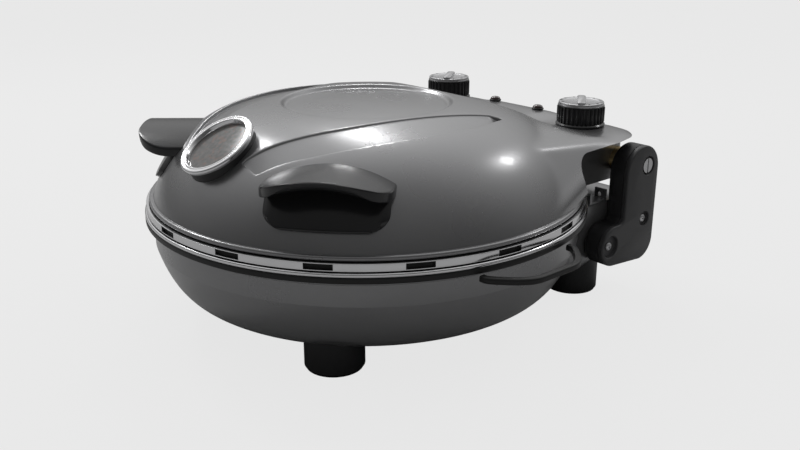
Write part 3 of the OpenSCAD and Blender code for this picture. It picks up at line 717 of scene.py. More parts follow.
@dataclass(frozen=True)
class SmokedGlass(Finish):
    """Dark glass with uneven warm blotches painted on it: a painted glow of the lit inside behind
    it.
    """

    # colour of the painted glow of the lit inside behind the glass
    warm: RGB = (0.34, 0.19, 0.15)
    opacity: float = 0.93

    def surface(self, graph: ShaderGraph) -> dict[str, Any]:
        """Painted warm glow of the lit inside, in random blotches, over a dark mottled ground."""
        inside_glow = graph.noise(4.0, 3.0).between(0.5, 0.72)
        haze = graph.noise(3.2, 2.0)
        dark, light = self.shades(0.45)
        ground = graph.blend(haze, dark, light)
        return {
            # painted glow: warm blotches that stand for the lit inside seen through the glass
            "Base Color": graph.blend(inside_glow * 0.45, ground, self.warm),
            "Roughness": self.roughness + haze * 0.05,
            "Alpha": self.opacity - inside_glow * 0.05,
        }


class Finishes:
    """Every finish of the pizza maker."""

    paint = MetallicPaint(
        "grey_stoved_paint", "painted_shell", (0.26, 0.26, 0.265), 0.28, 0.7, 0.25, 0.5, 0.35,
        0.003, 0.1
    )
    gloss = Finish(
        "black_gloss_moulding", "black_plastic", (0.018, 0.018, 0.019), 0.22, 0.0, 0.1, 0.35, 1.4,
        0.004
    )
    satin = Finish(
        "black_satin_moulding", "black_plastic", (0.018, 0.018, 0.019), 0.42, 0.0, 0.0, 0.4, 0.5,
        0.008
    )
    cover = Finish(
        "dark_grey_satin_moulding", "arm_cover_plastic", (0.05, 0.05, 0.052), 0.45, 0.0, 0.0, 0.45,
        0.45, 0.012
    )
    rubber = Finish("matt_rubber", "rubber", (0.014, 0.014, 0.014), 0.8, 0.0, 0.0, 0.3, 0.7, 0.02)
    steel = Polished(
        "zinc_plated_steel", "steel", (0.56, 0.56, 0.57), 0.28, 0.95, 0.0, 0.5, 0.5, 0.004
    )
    chrome = Polished(
        "polished_chrome", "chrome", (0.74, 0.74, 0.75), 0.1, 1.0, 0.0, 0.5, 0.5, 0.001, 0.05
    )
    silver = Polished(
        "silvered_moulding", "cap_silver", (0.55, 0.55, 0.56), 0.24, 0.85, 0.2, 0.5, 0.5, 0.003
    )
    enamel = Speckled(
        "black_enamel", "black_enamel", (0.01, 0.01, 0.011), 0.2, 0.0, 0.3, 0.5, 0.8, 0.004, 0.2,
        (0.03, 0.03, 0.03), 0.4
    )
    seal = Finish(
        "black_heatproof_seal", "gasket", (0.008, 0.008, 0.008), 0.6, 0.0, 0.0, 0.3, 0.6, 0.03
    )
    stone = Speckled(
        "fine_cordierite", "stone", (0.62, 0.53, 0.41), 0.85, 0.0, 0.0, 0.3, 0.9, 0.05, 0.1,
        (0.36, 0.28, 0.2), 0.7
    )
    reflector = Turned(
        "bright_rolled_aluminium", "reflector", (0.6, 0.6, 0.61), 0.3, 0.95, 0.0, 0.5, 0.5, 0.004
    )
    tube = HeatedTube(
        "heat_darkened_tube", "element_tube", (0.1, 0.1, 0.1), 0.5, 0.7, 0.0, 0.5, 0.7, 0.01
    )
    ceramic = Finish(
        "matt_ceramic", "insulator", (0.84, 0.83, 0.79), 0.6, 0.0, 0.0, 0.4, 0.6, 0.01, 0.05
    )
    glass = SmokedGlass("smoked_glass", "glass", (0.15, 0.148, 0.145), 0.06, 0.0, 0.0, 0.5)
    brass = Polished("turned_brass", "brass", (0.72, 0.55, 0.27), 0.25, 1.0, 0.0, 0.5, 0.4, 0.004)
    housing = Finish("cream_moulding", "control_plastic", (0.62, 0.6, 0.56), 0.5)
    lens = Finish(
        "smoked_red_lens", "lamp_lens", (0.035, 0.012, 0.01), 0.12, 0.0, 0.5, 0.5, 2.0, 0.002
    )


# Geometry Nodes


class NodeGroup(NodeTree):
    """A Geometry Nodes tree with named inputs, built for one kind of repeat."""

    def __init__(self, name: str) -> None:
        """Starts a tree that takes geometry in and gives geometry out."""
        self.tree = bpy.data.node_groups.new(name, "GeometryNodeTree")
        self.keys: dict[str, str] = {}
        self.input("Piece", "NodeSocketGeometry")
        self.tree.interface.new_socket("Result", in_out="OUTPUT", socket_type="NodeSocketGeometry")
        self.entry = self.tree.nodes.new("NodeGroupInput")

    def input(self, name: str, kind: str) -> None:
        """Adds a named input."""
        made = self.tree.interface.new_socket(name, in_out="INPUT", socket_type=kind)
        self.keys[name] = made.identifier

    def given(self, name: str) -> bpy.types.NodeSocket:
        """The socket of a named input, inside the tree."""
        return self.entry.outputs[name]

    def close(self, result: bpy.types.NodeSocket) -> None:
        """Ends the tree in Realize Instances and Set Material."""
        whole = self.add("GeometryNodeRealizeInstances", None, {"Geometry": result})
        look = {"Geometry": whole, "Material": self.given("Material")}
        done = self.add("GeometryNodeSetMaterial", None, look)
        self.add("NodeGroupOutput", None, {"Result": done})

    def run(self, obj: bpy.types.Object, values: dict[str, Any]) -> None:
        """Runs the tree on an object and keeps the plain mesh.

        Args:
            obj: the object whose mesh goes in.
            values: the named inputs.
        """
        change = obj.modifiers.new(self.tree.name, "NODES")
        change.node_group = self.tree
        for name, value in values.items():
            change[self.keys[name]] = value
        obj.update_tag()
        settle(obj)


class Repeats:
    """The two kinds of repeat: copies about an upright axis, and copies at given points."""

    def __init__(self) -> None:
        """Builds both trees."""
        self.around = self._around()
        self.at_points = self._at_points()

    @staticmethod
    def _around() -> NodeGroup:
        """Copies of the piece, turned step by step about an upright axis."""
        group = NodeGroup("copies_about_an_axis")
        kinds = {
            "Count": "Int", "First": "Float", "Step": "Float", "Centre": "Vector",
            "Material": "Material"
        }
        for name, kind in kinds.items():
            group.input(name, f"NodeSocket{kind}")
        centred = group.add("GeometryNodeTransform", None, {
            "Geometry": group.given("Piece"),
            "Translation": group.add("ShaderNodeVectorMath", {"operation": "SCALE"}, {
                "Vector": group.given("Centre"), "Scale": -1.0}),
        })
        line = group.add("GeometryNodeMeshLine", None, {
            "Count": group.given("Count"), "Start Location": group.given("Centre"),
            "Offset": (0.0, 0.0, 0.0)})
        index = group.add("GeometryNodeInputIndex")
        turn = group.add("ShaderNodeMath", {"operation": "MULTIPLY_ADD"}, {
            0: index, 1: group.given("Step"), 2: group.given("First")})
        spin = group.add("ShaderNodeCombineXYZ", None, {"Z": turn})
        copies = group.add("GeometryNodeInstanceOnPoints", None, {
            "Points": line, "Instance": centred, "Rotation": spin})
        group.close(copies)
        return group

    @staticmethod
    def _at_points() -> NodeGroup:
        """Copies of a model piece on the points of a mesh, with one turn for all."""
        group = NodeGroup("copies_at_points")
        for name, kind in {"Model": "Object", "Turn": "Vector", "Material": "Material"}.items():
            group.input(name, f"NodeSocket{kind}")
        model = group.add(
            "GeometryNodeObjectInfo", None, {"Object": group.given("Model")}, "Geometry"
        )
        copies = group.add("GeometryNodeInstanceOnPoints", None, {
            "Points": group.given("Piece"), "Instance": model, "Rotation": group.given("Turn")})
        group.close(copies)
        return group

    def spun(
        self, name: str, shape: Shape, finish: Finish, count: int, first: float, step: float,
        centre: Pair = (0.0, 0.0),
    ) -> bpy.types.Object:
        """Copies a shape round an upright axis.

        Args:
            name: the piece's name.
            shape: one copy, where angle 0 puts it.
            finish: its finish.
            count: how many.
            first: the first angle, in degrees.
            step: from one to the next, in degrees.
            centre: where the axis stands.

        Returns:
            One mesh with all the copies.
        """
        obj = mesh_object(name, shape)
        self.around.run(obj, {
            "Count": count,
            "First": math.radians(first),
            "Step": math.radians(step),
            "Centre": (centre[0] * MM, (centre[1] + AXIS_Y) * MM, 0.0),
            "Material": finish.material(),
        })
        return obj

    def scattered(
        self, name: str, model: Shape, finish: Finish, points: Sequence[Sequence[float]],
        turn: RGB,
    ) -> bpy.types.Object:
        """Copies a model at given points.

        Args:
            name: the piece's name.
            model: the model, about its own origin.
            finish: its finish.
            points: where the copies go, in millimetres.
            turn: how all of them are turned, in degrees about X, Y and Z.

        Returns:
            One mesh with all the copies.
        """
        helper = mesh_object("model", model.placed(frame_matrix(0, -AXIS_Y, 0)))
        obj = mesh_object(name, Shape(np.array(points, float), []))
        self.at_points.run(obj, {
            "Model": helper,
            "Turn": tuple(math.radians(a) for a in turn),
            "Material": finish.material(),
        })
        bpy.data.objects.remove(helper)
        return obj


def screw_model(head_r: float, head_h: float, shank: float) -> bpy.types.Object:
    """A pan-head screw with a cross recess, head upwards on Z = 0.

    Args:
        head_r: radius of its head.
        head_h: height of its head.
        shank: length of the shank that is drawn.

    Returns:
        The screw as a helper object.
    """
    profile = [
        (0, -shank), (head_r * 0.5, -shank), (head_r * 0.5, 0), (head_r * 0.94, 0),
        (head_r, head_h * 0.25)
    ]
    profile += [
        (head_r * math.cos(a), head_h * (0.25 + 0.75 * math.sin(a)))
        for a in (0.35, 0.7, 1.0, 1.3)
    ]
    profile.append((0, head_h))
    obj = mesh_object("screw", lathe(profile, 32, ring=False))
    slot = []
    for quarter in (0, 90):
        bar = loft([
            np.array([(x, y, z) for x, y in rounded_rectangle(w, 0.16 * head_r, 0.05, 2)], float)
            for w, z in ((0.2 * head_r, head_h * 0.15), (0.58 * head_r, head_h * 1.2))
        ])
        slot.append(bar.placed(turned(quarter, "Z")))
    combine(obj, slot, Join.CUT)
    return obj


def shape_of(obj: bpy.types.Object) -> Shape:
    """Takes a helper object's mesh back as a shape and removes the object."""
    points = np.array([v.co for v in obj.data.vertices], float) / MM - (0, AXIS_Y, 0)
    faces = [tuple(p.vertices) for p in obj.data.polygons]
    bpy.data.objects.remove(obj)
    return Shape(points, faces)


# The lid


@dataclass(frozen=True)
class LidForm:
    """The lid's outer form: a full dome, and a hood that runs back to a flat deck."""

    dome_r: float = 165.6
    dome_low: float = EDGE_Z - 4.9
    dome_h: float = 73.4
    flat: float = 4.9
    fall: float = 1.24
    slope_r: float = 80.0
    slope_z: float = EDGE_Z + 61
    plane_fall: float = 0.415
    plane_z: float = DECK_Z + 0.8
    hood_x: float = 126.0
    hood_y: float = 188.0
    shoulder_z: float = 144.0
    deck_front: float = 138.0
    corner: float = 26.0
    deck_low: float = 121.5
    panel_x: float = 34.5
    panel_foot_x: float = 54.5
    columns: int = 320
    rows: int = 104

    def dome_height(self, r: np.ndarray) -> np.ndarray:
        """Height of the dome at a radius."""
        share = np.clip(1 - (np.minimum(r, self.dome_r) / self.dome_r) ** self.flat, 0, 1)
        return self.dome_low + self.dome_h * share ** (1 / self.fall)

    def plane_height(self, y: np.ndarray) -> np.ndarray:
        """Height of the plane behind the crown, which falls to the deck's front edge."""
        return self.plane_z + (self.deck_front - y) * self.plane_fall

    def dome_radius(self, z: Any) -> Any:
        """Radius of the dome at a height or at an array of heights."""
        share = 1 - ((z - self.dome_low) / self.dome_h) ** self.fall
        return self.dome_r * share ** (1 / self.flat)

    def _hulls(self) -> list[list[tuple[float, float, float]]]:
        """Corner points of the hood's blocks: its slope, its rear and the deck's middle."""
        rim = [(*p, z) for p in arc(0, 0, 163.5, 0, 354, 59) for z in (EDGE_Z, EDGE_Z + 2)]
        crown = [(*p, self.slope_z + 0.6) for p in arc(0, 0, self.slope_r, 0, 354, 59)]
        sides = (-1, 1)
        shoulder = [
            (s * self.hood_x, y, z)
            for s in sides for y, z in ((0.0, self.shoulder_z), (self.deck_front, DECK_Z))
        ]
        across, back = self.hood_x - self.corner, self.hood_y - self.corner
        corners = [
            (s * (across + x), back + y, z)
            for s in sides for x, y in arc(0, 0, self.corner, 0, 90, 12)
            for z in (self.deck_low, DECK_Z)
        ]
        rear = corners + [(s * self.hood_x, self.deck_front - 2, DECK_Z) for s in sides]
        panel = [
            (s * self.panel_x, y, PANEL_Z)
            for s in sides for y in (self.deck_front - 14, self.hood_y - 12)
        ]
        panel += [
            (s * self.panel_foot_x, y, DECK_Z - 2)
            for s in sides for y in (self.deck_front - 14, self.hood_y - 4)
        ]
        return [crown + rim + shoulder, rim + rear, rim + panel]

    def _gauge(self, points: Sequence[tuple[float, float, float]], rays: np.ndarray) -> np.ndarray:
        """How far each ray runs inside a convex block.

        Args:
            points: the block's corners.
            rays: unit rays from the middle of the lid's edge.

        Returns:
            The distances.
        """
        bm = bmesh.new()
        for x, y, z in points:
            bm.verts.new((x, y, z - EDGE_Z))
        bmesh.ops.convex_hull(bm, input=bm.verts)
        inside = Vector((0, 40, 20))
        rate = np.zeros(rays.shape[:-1])
        for face in bm.faces:
            normal, reach = face.normal.copy(), face.normal.dot(face.verts[0].co)
            if normal.dot(inside) > reach:
                normal, reach = -normal, -reach
            if reach > 1e-3:
                rate = np.maximum(rate, rays @ np.array(normal) / reach)
        bm.free()
        return 1 / np.maximum(rate, 1e-6)

    def skin(self) -> np.ndarray:
        """The outer skin as a grid of points, from the top down to the edge.

        Returns:
            An array of rows, columns and coordinates.
        """
        heights = EDGE_Z + (LID_TOP - 0.5 - EDGE_Z) * np.linspace(0, 1, 4000)
        r = np.concatenate([np.linspace(0, 140, 2000), self.dome_radius(heights)])
        r = np.unique(np.clip(r, 0, self.dome_r - 0.02))
        z = self.dome_height(r)
        keep = z >= EDGE_Z
        r, z = r[keep], z[keep]
        length = np.concatenate([[0], np.cumsum(np.hypot(np.diff(r), np.diff(z)))])
        at = np.linspace(0, length[-1], self.rows + 1)[1:]
        rise = np.arctan2(np.interp(at, length, z) - EDGE_Z, np.interp(at, length, r))
        rise[-1] = 0.0
        around = np.linspace(0, 2 * math.pi, self.columns, endpoint=False)
        level, up = np.cos(rise)[:, None], np.sin(rise)[:, None]
        rays = np.stack([level * np.cos(around), level * np.sin(around), up + 0 * around], axis=2)
        low, high = np.zeros(rays.shape[:2]), np.full(rays.shape[:2], 260.0)
        for _ in range(34):
            middle = (low + high) / 2
            point = rays * middle[..., None]
            flat_r = np.hypot(point[..., 0], point[..., 1])
            roof = np.where(point[..., 1] > 0, self.plane_height(point[..., 1]), LID_TOP)
            roof = np.minimum(roof, self.dome_height(flat_r))
            inside = (flat_r < self.dome_r) & (point[..., 2] + EDGE_Z < roof)
            low, high = np.where(inside, middle, low), np.where(inside, high, middle)
        dome = (low + high) / 2
        hood = np.max([self._gauge(points, rays) for points in self._hulls()], axis=0)
        proud = np.maximum(hood - dome, 0)
        for _ in range(3):
            proud = (np.roll(proud, 1, 1) + 2 * proud + np.roll(proud, -1, 1)) / 4
            padded = np.vstack([proud[:1], proud, proud[-1:]])
            proud = (padded[:-2] + 2 * padded[1:-1] + padded[2:]) / 4
        proud[-1] = 0
        points = rays * (dome + proud)[..., None]
        points[..., 2] += EDGE_Z
        points[-1, :, 2] = EDGE_Z
        return points

    def closed(self, grid: np.ndarray, drop: float) -> Shape:
        """Closes a skin into a solid.

        Args:
            grid: the skin's points.
            drop: how far its plug goes below the edge.

        Returns:
            The solid.
        """
        rows, columns = grid.shape[:2]
        loops = [grid[i] for i in range(rows)]
        if drop:
            loops.append(grid[-1] - (0, 0, drop))
        top = np.array([[0, 0, grid[0, :, 2].max() + 0.02]])
        points = np.vstack([*loops, top])
        faces: list[tuple[int, ...]] = []
        for i in range(len(loops) - 1):
            for j in range(columns):
                k = (j + 1) % columns
                faces.append(
                    ((i + 1) * columns + j, (i + 1) * columns + k, i * columns + k, i * columns + j)
                )
        end = len(points) - 1
        faces += [(end, j, (j + 1) % columns) for j in range(columns)]
        last = (len(loops) - 1) * columns
        faces.append(tuple(range(last, last + columns))[::-1])
        return Shape(points, faces)

    def inner(self, grid: np.ndarray, wall: float) -> np.ndarray:
        """The inner skin, thicker at the crown, where the recesses are.

        Args:
            grid: the outer skin.
            wall: the wall's thickness.

        Returns:
            A coarser grid.
        """
        down = np.gradient(grid, axis=0)
        along = np.roll(grid, -1, 1) - np.roll(grid, 1, 1)
        normal = np.cross(down, along)
        normal /= np.maximum(np.linalg.norm(normal, axis=2, keepdims=True), 1e-9)
        rise = np.clip((grid[..., 2] - 129) / 9, 0, 1)
        depth = wall + 2.6 * rise * rise * (3 - 2 * rise)
        low = grid - normal * depth[..., None]
        low[-1, :, 2] = EDGE_Z
        kept = low[::2, ::2] if (grid.shape[0] % 2) else np.concatenate(
            [low[:-1:2, ::2], low[-1:, ::2]]
        )
        return kept


@dataclass
class Lid:
    """The domed lid: shell, recesses, vents and the parts under it."""

    form: LidForm = field(default_factory=LidForm)
    wall: float = 2.0
    crown_r: float = 65.0
    crown_z: float = 159.0
    channel_deep: float = 1.3
    channel_tilt: float = -2.2
    channel_foot: float = 0.9
    channel_lip: float = 1.3
    bay_front: float = 84.0
    bay_round: float = 20.0
    ring_room: float = 0.8
    shaft_hole_r: float = 4.5
    lamp_hole_r: float = 4.1
    bush_hole_r: float = 8.05
    bay_floor: float = 96.5
    bay_roof: float = 128.0
    knob_at: Pair = (77.4, 162.0)
    lamp_at: Pair = (25.0, 170.0)
    vent_count: int = 16
    vent_step: float = 21.8
    inner_edge: tuple[Pair, ...] = (
        (30, -129), (38, -112), (48, -93), (58, -69), (64, -47), (68, -27), (73, -5),
        (80, 18), (88, 42)
    )
    outer_edge: tuple[Pair, ...] = (
        (45, -129), (58, -112), (71, -97), (85, -71), (93, -50), (99, -27), (102, 0),
        (100, 22), (94, 47)
    )

    def build(self, repeats: Repeats) -> None:
        """Makes and dresses the lid's own pieces."""
        self.shell()
        self.vents(repeats)

    def bay_tool(self, grow: float) -> Shape:
        """The right-hand bay beside the hinge.

        Args:
            grow: how much larger than the bay the tool is.

        Returns:
            A prism along X.
        """
        y, r, top = self.bay_front, self.bay_round + grow, self.bay_roof
        outline = arc(y + self.bay_round, top - self.bay_round, r, 90, 180, 20)
        outline += [
            (y + 11 - grow, self.bay_floor - grow), (260, self.bay_floor - grow), (260, top + grow)
        ]
        sides = [np.array([(x, p[0], p[1]) for p in outline], float) for x in (BAY_X - grow, 210)]
        return loft(sides[::-1])

    def edge_line(self, corners: Sequence[Pair], count: int) -> np.ndarray:
        """A smooth plan line through some corners.

        Args:
            corners: the points it passes.
            count: how many points to give.

        Returns:
            Evenly spaced points.
        """
        ring = np.array(corners, float)
        for _ in range(3):
            cut = np.empty((2 * len(ring) - 2, 2))
            cut[0::2] = ring[:-1] * 0.75 + ring[1:] * 0.25
            cut[1::2] = ring[:-1] * 0.25 + ring[1:] * 0.75
            ring = np.vstack([ring[:1], cut, ring[-1:]])
        length = np.concatenate([[0], np.cumsum(np.linalg.norm(np.diff(ring, axis=0), axis=1))])
        at = np.linspace(0, length[-1], count)
        return np.stack([np.interp(at, length, ring[:, i]) for i in (0, 1)], axis=1)

    def channel_tool(self, skin: Shape) -> Shape:
        """Cuts the right-hand channel, whose floor is deepest near its outer edge.

        Args:
            skin: the lid's outer form, which the channel's lips follow.

        Returns:
            A closed shape with a rounded foot and rounded lips.
        """
        tree = BVHTree.FromPolygons([tuple(p) for p in skin.points], skin.faces)
        long, wide = 100, 8
        left, right = self.edge_line(self.inner_edge, long), self.edge_line(self.outer_edge, long)
        share = np.tile(np.linspace(0, 1, wide + 1), (long, 1))
        grid = left[:, None] * (1 - share[..., None]) + right[:, None] * share[..., None]
        deep = self.channel_deep - self.channel_tilt * share + 1.8 * share * (1 - share)
        border, edge_deep = (
            np.concatenate([a[:, 0], a[-1, 1:], a[-2::-1, -1], a[0, -2:0:-1]])
            for a in (grid, deep)
        )
        ahead = np.roll(border, -1, 0) - np.roll(border, 1, 0)
        out = np.stack([-ahead[:, 1], ahead[:, 0]], axis=1)
        out /= np.linalg.norm(out, axis=1, keepdims=True)
        if ((border - border.mean(0)) * out).sum() < 0:
            out = -out

        def skin_z(plan: np.ndarray) -> np.ndarray:
            """Height of the lid's skin above some plan points."""
            hits = [tree.ray_cast((float(x), float(y), 300.0), (0, 0, -1))[0] for x, y in plan]
            return np.array([hit.z for hit in hits])

        def lifted(plan: np.ndarray, depth: np.ndarray) -> np.ndarray:
            """Plan points at their depths below the dome."""
            z = self.form.dome_height(np.hypot(plan[..., 0], plan[..., 1])) - depth
            return np.concatenate([plan, z[..., None]], axis=-1)

        floor, count = lifted(grid, deep), len(border)
        foot, lip = self.channel_foot, self.channel_lip
        loops = []
        for a in (30, 60, 85):
            plan = border + out * foot * math.sin(math.radians(a))
            loops.append(lifted(plan, edge_deep - foot * (1 - math.cos(math.radians(a)))))
        for a in (80, 60, 40, 20, 0):
            plan = border + out * (foot + 0.15 + lip * (1 - math.sin(math.radians(a))))
            drop = lip * (1 - math.cos(math.radians(a)))
            loops.append(
                np.column_stack([plan, skin_z(plan) - drop * 0.92 + (0.06 if a == 0 else 0)])
            )
        above = border + out * (foot + lip + 0.6)
        loops.append(np.column_stack([above, skin_z(above) + 12]))
        crown = np.column_stack(
            [grid.reshape(-1, 2), np.full(grid.shape[0] * grid.shape[1], LID_TOP + 20)]
        )
        points = np.vstack([floor.reshape(-1, 3), *loops, crown])
        index = np.arange(floor.shape[0] * floor.shape[1]).reshape(floor.shape[:2])
        ring = np.concatenate([index[:, 0], index[-1, 1:], index[-2::-1, -1], index[0, -2:0:-1]])
        base = index.size
        rings = [ring] + [np.arange(count) + base + i * count for i in range(len(loops))]
        rings.append(ring + base + len(loops) * count)
        faces = []
        for low, high in zip(rings, rings[1:]):
            faces += [
                (low[j], low[(j + 1) % count], high[(j + 1) % count], high[j])
                for j in range(count)
            ]
        cells = [(index[i, j], index[i + 1, j], index[i + 1, j + 1], index[i, j + 1])
                 for i in range(long - 1) for j in range(wide)]
        shift = base + len(loops) * count
        faces += [c[::-1] for c in cells] + [tuple(i + shift for i in c) for c in cells]
        return outward(Shape(points, [tuple(int(i) for i in f) for f in faces]))

    def crown_tool(self) -> Shape:
        """Cuts the shallow round recess on top, with a rolled edge and a fine groove inside it."""
        r, z = self.crown_r, self.crown_z
        profile = [
            (0, z), (r - 6.5, z), (r - 5.2, z - 0.15), (r - 4.4, z - 0.5), (r - 3.4, z - 0.6),
            (r - 2.4, z - 0.35)
        ]
        profile += [
            (r - 1.5, z + 0.3), (r - 0.7, z + 1.3), (r, z + 2.0), (r + 0.9, z + 2.3),
            (r + 2.4, z + 2.45), (r + 4, z + 6)
        ]
        profile += [(r + 4, z + 14), (0, z + 14)]
        return lathe(profile, 240, ring=False)

    def house(self, inset: float, low: float) -> Shape:
        """The housing under the hood's rear.

        Args:
            inset: how far inside the outer skin it is.
            low: height of its underside.

        Returns:
            The block, still to be cut round the rim.
        """
        front, back = 118 + inset, self.form.hood_y - inset
        outline = rounded_rectangle(BAY_X - inset, (back - front) / 2, 8, 6)
        middle = (front + back) / 2
        return loft(
            [np.array([(x, y + middle, z) for x, y in outline]) for z in (low, self.bay_roof)]
        )

    def shell(self) -> None:
        """The painted lid shell with its bead, recesses, bays and holes."""
        grid = self.form.skin()
        outer = self.form.closed(grid, 0)
        skin = mesh_object("lid_skin", outer)
        house = mesh_object("house", self.house(0, VENT_Z + self.ring_room))
        clear_r = VENT_R + self.ring_room
        combine(house, [cylinder(clear_r, 60, EDGE_Z, 240)], Join.CUT)
        bead = softened(
            [(160, 0), (165, 0), (166.2, 1.0), (166.2, 2.9), (165.2, 3.8), (160, 3.8)], 0.8, 4
        )
        rolled = lathe([(r, z + EDGE_Z) for r, z in bead], 320)
        combine(skin, [shape_of(house), rolled], Join.ADD)
        bay = self.bay_tool(0)
        channel = self.channel_tool(outer)
        window = cylinder(26.2, -40, 20, 96).placed(WINDOW_PLACE)
        combine(
            skin, [bay, bay.mirrored(), self.crown_tool(), channel, channel.mirrored(), window],
            Join.CUT
        )
        hollow = mesh_object("hollow", self.form.closed(self.form.inner(grid, self.wall), 6))
        house_in = mesh_object("house_in", self.house(self.wall, VENT_Z - 4))
        combine(house_in, [cylinder(clear_r + self.wall, 60, EDGE_Z + self.wall, 240)], Join.CUT)
        combine(hollow, [shape_of(house_in)], Join.ADD)
        wide_bay = self.bay_tool(self.wall)
        combine(hollow, [wide_bay, wide_bay.mirrored()], Join.CUT)
        combine(skin, [shape_of(hollow)], Join.CUT)
        combine(skin, self.holes(), Join.CUT)
        shade(skin, 30)
        dressed(skin, Finishes.paint, Body.LID, "lid_shell")

    def holes(self) -> list[Shape]:
        """Holes for the knob shafts, the lamps and the hinge bushes."""
        made = []
        for side in (-1, 1):
            for (x, y), r in ((self.knob_at, self.shaft_hole_r), (self.lamp_at, self.lamp_hole_r)):
                made.append(cylinder(r, 116, 145).placed(frame_matrix(side * x, y)))
            bush = cylinder(self.bush_hole_r, side * BAY_X - 8, side * BAY_X + 8)
            made.append(bush.placed(frame_matrix(0, *PIVOT, turned(90, "Y"))))
        return made

    def vents(self, repeats: Repeats) -> None:
        """The chrome vent band with its slots, and the black seal behind it."""
        low, high = VENT_Z, EDGE_Z - 0.02
        outer, inner = VENT_R, VENT_R - 2
        rails = []
        for z0, z1 in ((low, low + 0.6), (high - 0.6, high)):
            rails.append(
                lathe(softened([(inner, z0), (outer, z0), (outer, z1), (inner, z1)], 0.25, 3), 320)
            )
        slot = math.degrees(2 * math.asin(9.5 / VENT_R))
        post = self.vent_step - slot
        first = -90 - 3.5 - self.vent_step * 7
        middle = first + self.vent_step / 2
        section = softened(
            [(inner, low + 0.3), (outer, low + 0.3), (outer, high - 0.3), (inner, high - 0.3)], 0.3,
            3
        )
        arc_piece = self.sector(section, post, 14)
        posts = repeats.spun(
            "posts", arc_piece, Finishes.chrome, self.vent_count - 1, middle, self.vent_step
        )
        rear_width = 360 - self.vent_step * (self.vent_count - 1) - slot
        rear = self.sector(section, rear_width, 26).placed(
            turned(first - slot / 2 - rear_width / 2, "Z")
        )
        band = rails[0].joined(rails[1]).joined(rear).joined(shape_of(posts))
        piece("vent_band", band, Finishes.chrome, Body.LID, "vent_ring")
        seal_out = inner - 0.1
        seal = lathe(
            softened([(161.3, low), (seal_out, low), (seal_out, high), (161.3, high)], 0.4, 3), 256
        )
        piece("vent_seal", seal, Finishes.seal, Body.LID, "vent_gasket")

    @staticmethod
    def sector(section: Sequence[Pair], width: float, steps: int) -> Shape:
        """Sweeps a section over an angle, with closed ends.

        Args:
            section: (radius, height) pairs.
            width: the angle, in degrees, centred on X.
            steps: steps along it.

        Returns:
            The swept piece.
        """
        turn = [math.radians(-width / 2 + width * i / steps) for i in range(steps + 1)]
        loops = [
            np.array([(r * math.cos(a), r * math.sin(a), z) for r, z in section])
            for a in turn
        ]
        return outward(loft(loops))


def outward(shape: Shape) -> Shape:
    """Turns a closed shape's faces so that they point outwards."""
    volume = 0.0
    for face in shape.faces:
        a = shape.points[face[0]]
        for i in range(1, len(face) - 1):
            volume += float(np.dot(a, np.cross(shape.points[face[i]], shape.points[face[i + 1]])))
    return shape if volume > 0 else Shape(shape.points, [f[::-1] for f in shape.faces])


WINDOW_PLACE = frame_matrix(0, -132.5, 149.5, turned(33.5, "X"))


# The window


@dataclass
class Window:
    """The round viewing window: a thick chrome ring on a black drum, with a smoked pane."""

    ring_r: float = 28.0
    bore: float = 26.0
    opening: float = 22.4
    drum_deep: float = 21.0
    glass_t: float = 4.0

    def build(self) -> None:
        """Makes and dresses the window's pieces."""
        ring = [
            (self.opening, -3.5), (self.ring_r - 0.3, -3.5), (self.ring_r, -3.1),
            (self.ring_r, -1.5)
        ]
        ring += arc(self.ring_r - 1.5, -1.5, 1.5, 10, 100, 6)
        ring += [(25.7, -0.25), (25.3, -0.42), (24.9, -0.3)] + arc(24.1, -1.0, 1.0, 60, 165, 6)
        ring += [(self.opening + 0.2, -2.2), (self.opening, -2.6)]
        bezel = lathe(ring, 160).placed(WINDOW_PLACE)
        piece("window_ring", bezel, Finishes.chrome, Body.LID, "window_bezel", sharp=SOFT)
        seat = -3.5 - self.glass_t
        drum = [
            (self.bore - 3.6, -self.drum_deep), (self.bore, -self.drum_deep), (self.bore, -3.5),
            (self.bore - 1.8, -3.5)
        ]
        drum += [(self.bore - 1.8, seat), (self.bore - 3.6, seat)]
        barrel = lathe(softened(drum, 0.5, 3), 128).placed(WINDOW_PLACE)
        piece("window_barrel", barrel, Finishes.satin, Body.LID, "window_drum")
        r, low, high = self.bore - 2, seat, -3.5
        pane = [
            (0, low), (r - 0.4, low), (r, low + 0.4), (r, high - 0.5), (r - 0.5, high - 0.1),
            (r - 6, high), (0, high)
        ]
        glass = lathe(pane, 96, ring=False).placed(WINDOW_PLACE)
        piece("window_pane", glass, Finishes.glass, Body.LID, "window_glass")


# The lid handles


